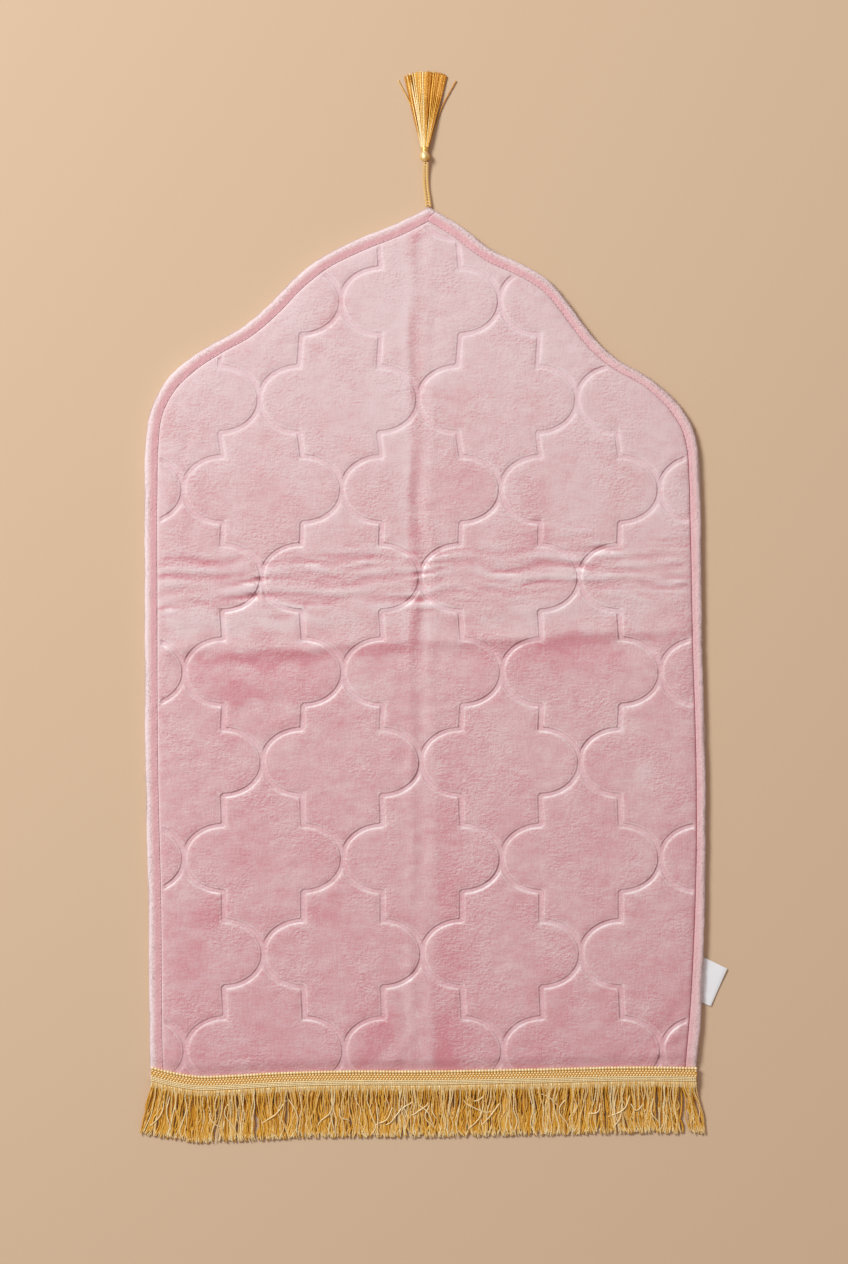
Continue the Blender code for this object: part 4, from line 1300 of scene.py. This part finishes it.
def make_pile(material):
    """The tape's short pile where it stands out along its outer round."""
    rng = np.random.default_rng(SEED + 20)
    edge = edge_path()
    step, run = inward(edge), run_length(edge)
    round_run = np.array(BINDING_SECTION[3:10])
    lengths = run_length(round_run)
    outward = np.column_stack([np.gradient(round_run[:, 1]), -np.gradient(round_run[:, 0])])
    outward /= np.linalg.norm(outward, axis=1)[:, None]
    at = rng.uniform(4, run[-1] - 4, FIBRES)
    down = rng.uniform(0.3, lengths[-1] - 0.6, FIBRES)
    place = read_off(at, run, edge)
    side = read_off(at, run, step)
    distance, height = read_off(down, lengths, round_run).T
    flat, upward = read_off(down, lengths, outward).T
    xy = place + side * (distance * tape_share(place))[:, None]
    height = pressed(xy, height)
    root = np.column_stack([xy, height])
    point = np.column_stack([side * flat[:, None], upward]) + rng.normal(0, 0.45, (FIBRES, 3))
    point /= np.linalg.norm(point, axis=1)[:, None]
    tip = root + point * rng.uniform(*FIBRE_LENGTH, (FIBRES, 1))
    tip[:, 2] = np.maximum(tip[:, 2], 0.02)
    across = np.cross(point, rng.normal(0, 1, (FIBRES, 3)))
    across *= FIBRE_WIDTH / 2 / np.linalg.norm(across, axis=1)[:, None]
    beside = np.cross(point, across)
    corners = [root + across, root - across / 2 + beside * 0.87, root - across / 2 - beside * 0.87]
    verts = np.stack(corners + [tip], axis=1).reshape(-1, 3)
    base = 4 * np.arange(FIBRES)[:, None]
    faces = np.vstack([base + k for k in ((0, 1, 3), (1, 2, 3), (2, 0, 3), (2, 1, 0))]).tolist()
    pale = np.ones(len(verts))
    mesh_object("binding_pile", verts, faces, material, {"outer": pale})


def make_stitches(material):
    """The sewing along the tape's inner edge, a short bowed thread for each stitch."""
    edge = edge_path()
    line = tape_line(edge, STITCH_INSET)
    run = run_length(line)
    starts = np.arange(4.0, run[-1] - 16.0, STITCH_PITCH)
    share = np.linspace(0, 1, STITCH_POINTS)
    bow = STITCH_BOW * np.sin(math.pi * share)
    paths = []
    for start in starts:
        xy = read_off(start + STITCH_LENGTH * share, run, line)
        z = pressed(xy, np.full(STITCH_POINTS, STITCH_HEIGHT)) + bow
        paths.append(np.column_stack([xy, z]))
    radii = np.full((len(paths), STITCH_POINTS), STITCH_RADIUS)
    verts, faces, _, _ = tubes(paths, radii, THREAD_SIDES)
    mesh_object("binding_stitches", verts, faces, material)


# ================================================================ braid and fringe


def braid_frames(behind, height, lean, pitch, size, offset=0.0):
    """Places for a row of small knots along the braid, each leaning off the row's line."""
    frames = []
    for across in np.arange(BRAID_LEFT + pitch / 2 + offset, BRAID_RIGHT, pitch):
        slope = foot_front(across + 1) - foot_front(across - 1)
        turn = math.atan2(slope, 2.0) + math.radians(lean)
        out = np.array((math.cos(turn), math.sin(turn), 0.0))
        side = np.array((-math.sin(turn), math.cos(turn), 0.0))
        middle = np.array((across, foot_front(across) + behind, BRAID_BASE + height))
        frames.append((middle, (out * size[0], side * size[1], UP * size[2])))
    return frames


def make_braid(material):
    """The braid's bead row and its rows of chain stitches."""
    rng = np.random.default_rng(SEED)
    stitch = bead(1)
    row = braid_frames(BEAD_BEHIND, BEAD_HEIGHT, BEAD_LEAN, BEAD_PITCH, BEAD_SIZE)
    parts = [(bead(2), row, BEAD_TONE)]
    for k, (behind, height, lean, level) in enumerate(CHAIN_ROWS):
        offset = CHAIN_PITCH / 2 * (k % 2)
        row = braid_frames(behind, height, lean, CHAIN_PITCH, CHAIN_SIZE, offset)
        parts.append((stitch, row, level))
    verts, faces, tone, start = [], [], [], 0
    for (points, shape), row, level in parts:
        placed, joined = copies(points, shape, row)
        verts.append(placed)
        faces += [[start + k for k in face] for face in joined]
        own = rng.uniform(-KNOT_SPREAD, KNOT_SPREAD, len(row))
        tone.append(level + np.repeat(own, len(points)))
        start += len(placed)
    return gold_object("braid_knots", np.vstack(verts), faces, material, np.concatenate(tone))


def make_braid_tape(material):
    """The braid's ground: a thin tape under its threads."""
    ob = add_alone(bpy.ops.mesh.primitive_grid_add, x_subdivisions=150, y_subdivisions=3, size=1.0)
    u, v = (points_of(ob)[:, :2] + 0.5).T
    x = BRAID_LEFT + (BRAID_RIGHT - BRAID_LEFT) * u
    y = foot_front(x) + BRAID_TAPE_FRONT + BRAID_TAPE_WIDTH * v
    z = np.full(len(x), BRAID_BASE + BRAID_TAPE_HEIGHT)
    move_points(ob, np.column_stack([x, y, z]))
    thicken(ob, BRAID_TAPE_HEIGHT, -1.0)
    tone = np.full(len(ob.data.vertices), BRAID_TAPE_TONE)
    dress(ob, "braid_tape", material, {"tone": tone})


def make_laid_threads(material):
    """The pale twisted threads that run along the braid."""
    across = np.arange(BRAID_LEFT, BRAID_RIGHT, 0.75)
    front, level = foot_front(across), np.ones(len(across))
    paths = [
        np.column_stack([across, front + behind, (BRAID_BASE + height) * level])
        for behind, height, _ in LAID_THREADS
    ]
    radii = np.array([radius * level for _, _, radius in LAID_THREADS])
    verts, faces, _, number = tubes(paths, radii, TWISTED_SIDES, 2, LAID_PLY_DEPTH, LAID_LAY)
    tone = 0.98 + 0.06 * np.sin(2.3 * number)
    gold_object("braid_laid_threads", verts, faces, material, tone)


def make_comb(material):
    """The short threads that cross the laid ones and bend down over the braid's front edge."""
    rng = np.random.default_rng(SEED + 1)
    middles = np.arange(BRAID_LEFT + 0.7, BRAID_RIGHT - 0.4, COMB_PITCH)
    middles = middles + rng.uniform(-0.15, 0.15, len(middles))
    share = np.linspace(0, 1, COMB_POINTS)
    z = BRAID_BASE + COMB_HEIGHT + 0.25 * np.sin(math.pi * share) - 0.9 * share**4
    paths = []
    for x in middles:
        y = foot_front(x) + COMB_BACK - COMB_LENGTH * share
        paths.append(np.column_stack([x + rng.uniform(-0.3, 0.3) * share, y, z]))
    radii = np.full((len(paths), COMB_POINTS), COMB_RADIUS)
    verts, faces, along, number = tubes(paths, radii, THREAD_SIDES)
    tone = rng.uniform(0.66, 1.0, len(paths))[number] - 0.12 * along
    gold_object("braid_comb", verts, faces, material, tone)


def strand_paths(count, steps, rest, fall, rng):
    """Lines of the fringe's strands, from the braid's front edge down and out over the floor."""
    pitch = (BRAID_RIGHT - BRAID_LEFT - 1.6) / count
    roots = BRAID_LEFT + 0.8 + pitch * (np.arange(count) + 0.5 + rng.uniform(-0.4, 0.4, count))
    share = np.linspace(0, 1, steps)
    lean = 1.6 * np.sin(math.tau * roots / 74 + 0.4) + 1.0 * np.sin(math.tau * roots / 31 + 1.7)
    lean += rng.normal(0, 2.7, count)
    lean -= SPLAY_LEFT * np.exp((BRAID_LEFT - roots) / SPLAY_REACH)
    lean += SPLAY_RIGHT * np.exp((roots - BRAID_RIGHT) / SPLAY_REACH)
    lock = np.round(roots / LOCK_WIDTH + 0.5 * np.sin(roots / 11.0)).astype(int)
    lean += 0.16 * (lock * LOCK_WIDTH - roots)
    shared = np.random.default_rng(SEED + 30).normal(0, 1, (3, 2 * lock.max() + 99))
    lean += 0.8 * shared[0][lock]
    length = STRAND_LENGTH + rng.uniform(-2.2, 1.2, count)
    x = roots[:, None] + lean[:, None] * share**1.3
    x += 0.9 * shared[1][lock][:, None] * np.sin(math.pi * share)
    x += 0.8 * shared[2][lock][:, None] * np.sin(math.tau * share) * share
    for turns, size in ((0.5, 1.3), (1.0, 1.0), (1.6, 0.75), (2.6, 0.5)):
        bow = rng.normal(0, size, count)[:, None]
        phase = rng.uniform(-0.5, 0.5, count)[:, None]
        x += bow * (np.sin(math.tau * turns * share + phase) - np.sin(phase)) * share**0.4
    y = foot_front(roots)[:, None] + 0.3 - length[:, None] * share
    drop = 1 - smoothstep(share, 0, fall)
    lift = 0.5 * rng.uniform(0, 1, count)[:, None]
    settle = rest + lift - 0.55 * max(rest - 0.7, 0) * smoothstep(share, 0.5, 1.0)
    z = settle + (BRAID_BASE + 0.35 - settle) * drop
    return np.stack([x, y, z], axis=-1)


def make_fringe(material):
    """The fringe's strands in three layers, and a few pale strays lying over them."""
    rng = np.random.default_rng(SEED + 2)
    made = []
    for name, count, radius, rest, fall, steps, plies, tint in FRINGE_LAYERS:
        paths = strand_paths(count, steps, rest, fall, rng)
        share = np.linspace(0, 1, steps)
        width = radius * (1 - 0.2 * smoothstep(share, 0.85, 1.0))
        radii = np.tile(width, (count, 1)) * rng.uniform(0.82, 1.15, (count, 1))
        turn = rng.uniform(0, 6.28, count)
        verts, faces, along, number = tubes(
            paths, radii, THREAD_SIDES, plies, STRAND_PLY_DEPTH, STRAND_LAY, turn
        )
        # The lower layers' darker tone is painted shade under the top one.
        own = rng.normal(tint, 0.21, count)[number]
        tone = own + 0.36 * (1 - smoothstep(along, 0.0, 0.14)) + 0.36 * smoothstep(along, 0.86, 1.0)
        made.append(gold_object(name, verts, faces, material, tone))
    made.append(make_strays(material, rng))
    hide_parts("fringe")
    return made


def make_strays(material, rng):
    """Loose curled threads that lie over the fringe."""
    share = np.linspace(0, 1, STRAY_STRAND_POINTS)
    paths = []
    for _ in range(STRAY_STRANDS):
        root = rng.uniform(BRAID_LEFT + 8, BRAID_RIGHT - 8)
        start = rng.uniform(4, 22)
        length = rng.uniform(14, 40 - start)
        angle = -math.pi / 2 + rng.normal(0, 0.45) + rng.normal(0, 0.9) * share
        angle += rng.normal(0, 0.35) * np.sin(math.tau * share)
        step = length / (len(share) - 1)
        x = root + np.cumsum(np.cos(angle)) * step
        y = foot_front(root) - start + np.cumsum(np.sin(angle)) * step
        z = 3.3 + 0.8 * np.sin(math.pi * share) - 1.2 * smoothstep(share, 0.6, 1)
        paths.append(np.column_stack([x, y, z]))
    radii = np.full((len(paths), len(share)), STRAY_STRAND_RADIUS)
    verts, faces, _, number = tubes(paths, radii, THREAD_SIDES)
    tone = rng.uniform(0.95, 1.2, len(paths))[number]
    return gold_object("fringe_strays", verts, faces, material, tone)


# ================================================================ label


def make_label(material):
    """The blank white label: two layers of satin, folded along the outer edge."""
    ob = add_alone(bpy.ops.mesh.primitive_grid_add, x_subdivisions=28, y_subdivisions=14, size=1.0)
    u, share = (points_of(ob)[:, :2] + 0.5).T
    outs = 1 - np.abs(2 * u - 1)
    upper = smoothstep(u, 0.47, 0.53)
    root = np.outer(1 - share, LABEL_ROOT[0]) + np.outer(share, LABEL_ROOT[1])
    fold = np.outer(1 - share, LABEL_FOLD[0]) + np.outer(share, LABEL_FOLD[1])
    curl = 0.8 * bell(share, 0.35) + 0.3 * bell(share - 1, 0.3)
    z = 0.35 + 0.75 * (1 - smoothstep(outs, 0.0, 0.4)) + curl * smoothstep(outs, 0.35, 1.0)
    move_points(ob, np.column_stack([root + (fold - root) * outs[:, None], z + 0.55 * upper]))
    thicken(ob, LABEL_THICKNESS, 0.0)
    bpy.ops.object.shade_smooth_by_angle(angle=math.radians(50))
    dress(ob, "label_cloth", material)
    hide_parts("side_label")


# ================================================================ tassel and cord


def reach_ring(before, ring):
    """Move the selected disc from one ring of the tassel's head to another, and size it."""
    along, half_width, half_height, middle = ring
    rise = (0.0, (along - before[0]) * MM, (middle - before[3]) * MM)
    bpy.ops.transform.translate(value=rise)
    bpy.ops.transform.resize(
        value=(half_width / before[1], 1.0, half_height / before[2]),
        center_override=(0.0, along * MM, middle * MM),
    )


def make_tassel_head(material):
    """The tassel's wound ball and bound neck, ridged by the threads wound round them, with a
    painted highlight on one side and painted shade towards the cord and between the windings.
    """
    rings = smooth_path(TASSEL_RINGS, 0.22)
    ob = add_alone(
        bpy.ops.mesh.primitive_circle_add,
        vertices=HEAD_SIDES,
        radius=MM,
        fill_type="NGON",
        rotation=(math.pi / 2, 0, 0),
    )
    bpy.ops.object.transform_apply(location=False, rotation=True, scale=False)
    bpy.ops.object.mode_set(mode="EDIT")
    bpy.ops.mesh.select_all(action="SELECT")
    reach_ring((0.0, 1.0, 1.0, 0.0), rings[0])
    for before, ring in zip(rings, rings[1:]):
        bpy.ops.mesh.extrude_region_move()
        reach_ring(before, ring)
    bpy.ops.mesh.select_all(action="SELECT")
    bpy.ops.mesh.normals_make_consistent(inside=False)
    bpy.ops.object.mode_set(mode="OBJECT")
    x, along, z = points_of(ob).T / MM
    middle = np.interp(along, rings[:, 0], rings[:, 3])
    around = np.arctan2(z - middle, x)
    winding = np.cos(along * (math.tau / WINDING_PITCH) + 3 * around)
    ridge = 1 + WINDING_DEPTH * winding
    height = np.maximum(middle + (z - middle) * ridge, 0.0)
    move_points(ob, np.column_stack([x * ridge, along, height]))
    # Painted highlight on the glinting side, painted shade towards the cord and in the grooves
    # between the windings.
    lean = (along - TASSEL_RINGS[4][0]) / TASSEL_RINGS[4][1]
    painted_ball_light = 0.3 * np.cos(around - BALL_GLINT) + 0.12 * np.clip(lean, -1, 1)
    neck = smoothstep(along, 400, 402)
    tone = 0.55 + painted_ball_light * (1 - 0.5 * neck) - 0.16 * neck + 0.2 * winding
    bpy.ops.object.shade_smooth()
    return dress(ob, "tassel_head", material, {"tone": tone})


def skirt_paths(steps, rng):
    """The skirt's threads, fanned from the neck in layers, and each one's spread, radius, tone."""
    share = np.linspace(0, 1, steps)
    paths, about = [], []
    for layer, (count, radius, root_height, rest, fall, tint) in enumerate(SKIRT_LAYERS):
        for k in range(count):
            out = 2 * (k + 0.5 + 0.25 * (layer - 1) + rng.uniform(-0.2, 0.2)) / count - 1
            tip_x = SKIRT_TIP_MIDDLE + SKIRT_TIP_HALF_WIDTH * out
            tip_y = SKIRT_TIP_ALONG - SKIRT_TIP_ARC * out**2 + rng.uniform(-0.9, 0.7)
            root_x = 3.0 * out
            bow = rng.normal(0, 0.35)
            x = root_x + (tip_x - root_x) * share**1.05 + bow * np.sin(math.pi * share)
            y = SKIRT_ROOT_ALONG + (tip_y - SKIRT_ROOT_ALONG) * share
            settle = rest - 0.75 * max(rest - 0.8, 0) * smoothstep(share, 0.45, 1.0)
            settle = settle - 0.3 * layer * out**2 * smoothstep(share, 0.2, 0.6)
            z = settle + (root_height - settle) * (1 - smoothstep(share, 0, fall))
            paths.append(np.column_stack([x, y, z]))
            about.append((out, radius, tint))
    for leave_x, leave_y, tip_x, tip_y in SKIRT_STRAYS:
        line = smooth_path(
            (
                (math.copysign(3.0, leave_x), SKIRT_ROOT_ALONG, 2.4),
                (leave_x * 0.62, (SKIRT_ROOT_ALONG + leave_y) / 2, 1.2),
                (leave_x, leave_y, 0.75),
                (tip_x, tip_y, 0.7),
            ),
            0.5,
        )
        run = run_length(line)
        paths.append(read_off(np.linspace(0, run[-1], steps), run, line))
        about.append((math.copysign(0.6, leave_x), SKIRT_STRAY_RADIUS, SKIRT_STRAY_TONE))
    return np.array(paths), np.array(about).T


def make_tassel_skirt(material):
    """The skirt's twisted threads, with painted light on the left and painted shade on the right
    and under the top layer.
    """
    rng = np.random.default_rng(SEED + 7)
    paths, (spread, radius, tint) = skirt_paths(SKIRT_SECTIONS, rng)
    count = len(paths)
    width = 0.5 + 0.5 * smoothstep(np.linspace(0, 1, SKIRT_SECTIONS), 0.0, 0.6)
    radii = radius[:, None] * width * rng.uniform(0.9, 1.1, (count, 1))
    turn = rng.uniform(0, math.tau, count)
    verts, faces, along, number = tubes(
        paths, radii, TWISTED_SIDES, 2, SKIRT_PLY_DEPTH, SKIRT_LAY, turn
    )
    # Painted light on the left strands and a painted highlight at their roots, painted shade on the
    # right ones.
    own = tint - 0.12 + rng.normal(0, 0.2, count) - 0.26 * spread
    painted_root_highlight = 0.3 * smoothstep(-spread, -0.3, 0.4)[number] * (1 - smoothstep(along, 0.0, 0.35))
    # Painted shade in a dark gap right of the middle and over the right side, from part way down.
    shade = 0.40 * bell(spread - 0.14, 0.13) + 0.40 * smoothstep(spread, -0.05, 0.2)
    shade = shade[number] * smoothstep(along, 0.2, 0.6)
    tone = own[number] - shade + painted_root_highlight + 0.2 * smoothstep(along, 0.93, 1.0)
    gold_object("tassel_skirt", verts, faces, material, tone)


def make_cord(side, name, material):
    """One twisted leg of the tassel's cord."""
    route = np.array(CORD_ROUTE)
    route[:, 0] += side * CORD_LEG_OFFSET
    path = smooth_path(route, CORD_LAY / CORD_STEPS_A_TURN)
    radii = np.full((1, len(path)), CORD_MEAN_RADIUS)
    verts, faces, _, _ = tubes(
        [path], radii, CORD_SIDES, CORD_PLIES, CORD_PLY_DEPTH, side * CORD_LAY
    )
    around = np.tile(math.tau * np.arange(CORD_SIDES) / CORD_SIDES, len(path))
    # Pale ply crests and darker grooves between the plies: painted shade.
    tone = 0.62 + 0.5 * np.cos(CORD_PLIES * around)
    ob = gold_object(f"cord_{name}", verts, faces, material, tone)
    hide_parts(f"tassel_cord_{name}")
    return ob, path


# ================================================================ stage


def make_camera():
    """A long lens straight above the rug, framed as the photograph is."""
    data = bpy.data.cameras.new("camera")
    data.sensor_width = SENSOR
    data.lens = SENSOR * CAMERA_HEIGHT / (PHOTO_SIZE[1] * PIXEL * MM)
    camera = bpy.data.objects.new("camera", data)
    across = (PHOTO_SIZE[0] / 2 - PHOTO_ORIGIN[0]) * PIXEL * MM
    along = (PHOTO_ORIGIN[1] - PHOTO_SIZE[1] / 2) * PIXEL * MM
    camera.location = (across, along, CAMERA_HEIGHT)
    bpy.context.collection.objects.link(camera)
    bpy.context.scene.camera = camera


def make_floor():
    """A plain pale floor."""
    m = Nodes("floor")
    bpy.ops.mesh.primitive_plane_add(size=FLOOR_SIZE, location=(0, 0, FLOOR_HEIGHT))
    floor = bpy.context.object
    floor.name = "ground"
    floor.data.materials.append(m.set(Base_Color=opaque(FLOOR_BEIGE), Roughness=0.9))


def make_lights():
    """One large soft light from the upper left, and a pale room."""
    data = bpy.data.lights.new("key", "AREA")
    data.shape = "SQUARE"
    data.size = KEY_SIZE
    data.energy = KEY_POWER
    data.color = KEY_COLOUR
    key = bpy.data.objects.new("key", data)
    key.location = KEY_PLACE
    key.rotation_euler = (-key.location).to_track_quat("-Z", "Y").to_euler()
    bpy.context.collection.objects.link(key)
    world = bpy.data.worlds.new("room")
    world.use_nodes = True
    background = world.node_tree.nodes["Background"]
    background.inputs[0].default_value = opaque(ROOM_COLOUR)
    background.inputs[1].default_value = ROOM_STRENGTH
    bpy.context.scene.world = world


def main():
    """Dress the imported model."""
    bpy.context.scene.view_settings.view_transform = "Standard"
    make_camera()
    make_floor()
    make_lights()

    velvet = velvet_material()
    tape = binding_material()
    sewing = plain_material("pink_sewing", SEWING_PINK, 0.6)
    gold = gold_material("gold_thread", 0.34, 0.15)
    glossy = gold_material("gold_wound_thread", 0.32, 0.5)
    satin = satin_material()

    left, left_path = make_cord(-1, "left", gold)
    right, right_path = make_cord(1, "right", gold)
    panel = make_panel(velvet)
    binding = make_binding(tape)
    make_pile(tape)
    make_stitches(sewing)
    braid = make_braid(gold)
    make_braid_tape(gold)
    make_laid_threads(gold)
    make_comb(gold)
    fringe = make_fringe(gold)
    make_label(satin)
    head = make_tassel_head(glossy)
    make_tassel_skirt(gold)
    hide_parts("tassel")

    for leg, path in ((left, left_path), (right, right_path)):
        tuple(path[0] * MM)
        [tuple(p * MM) for p in path]


main()
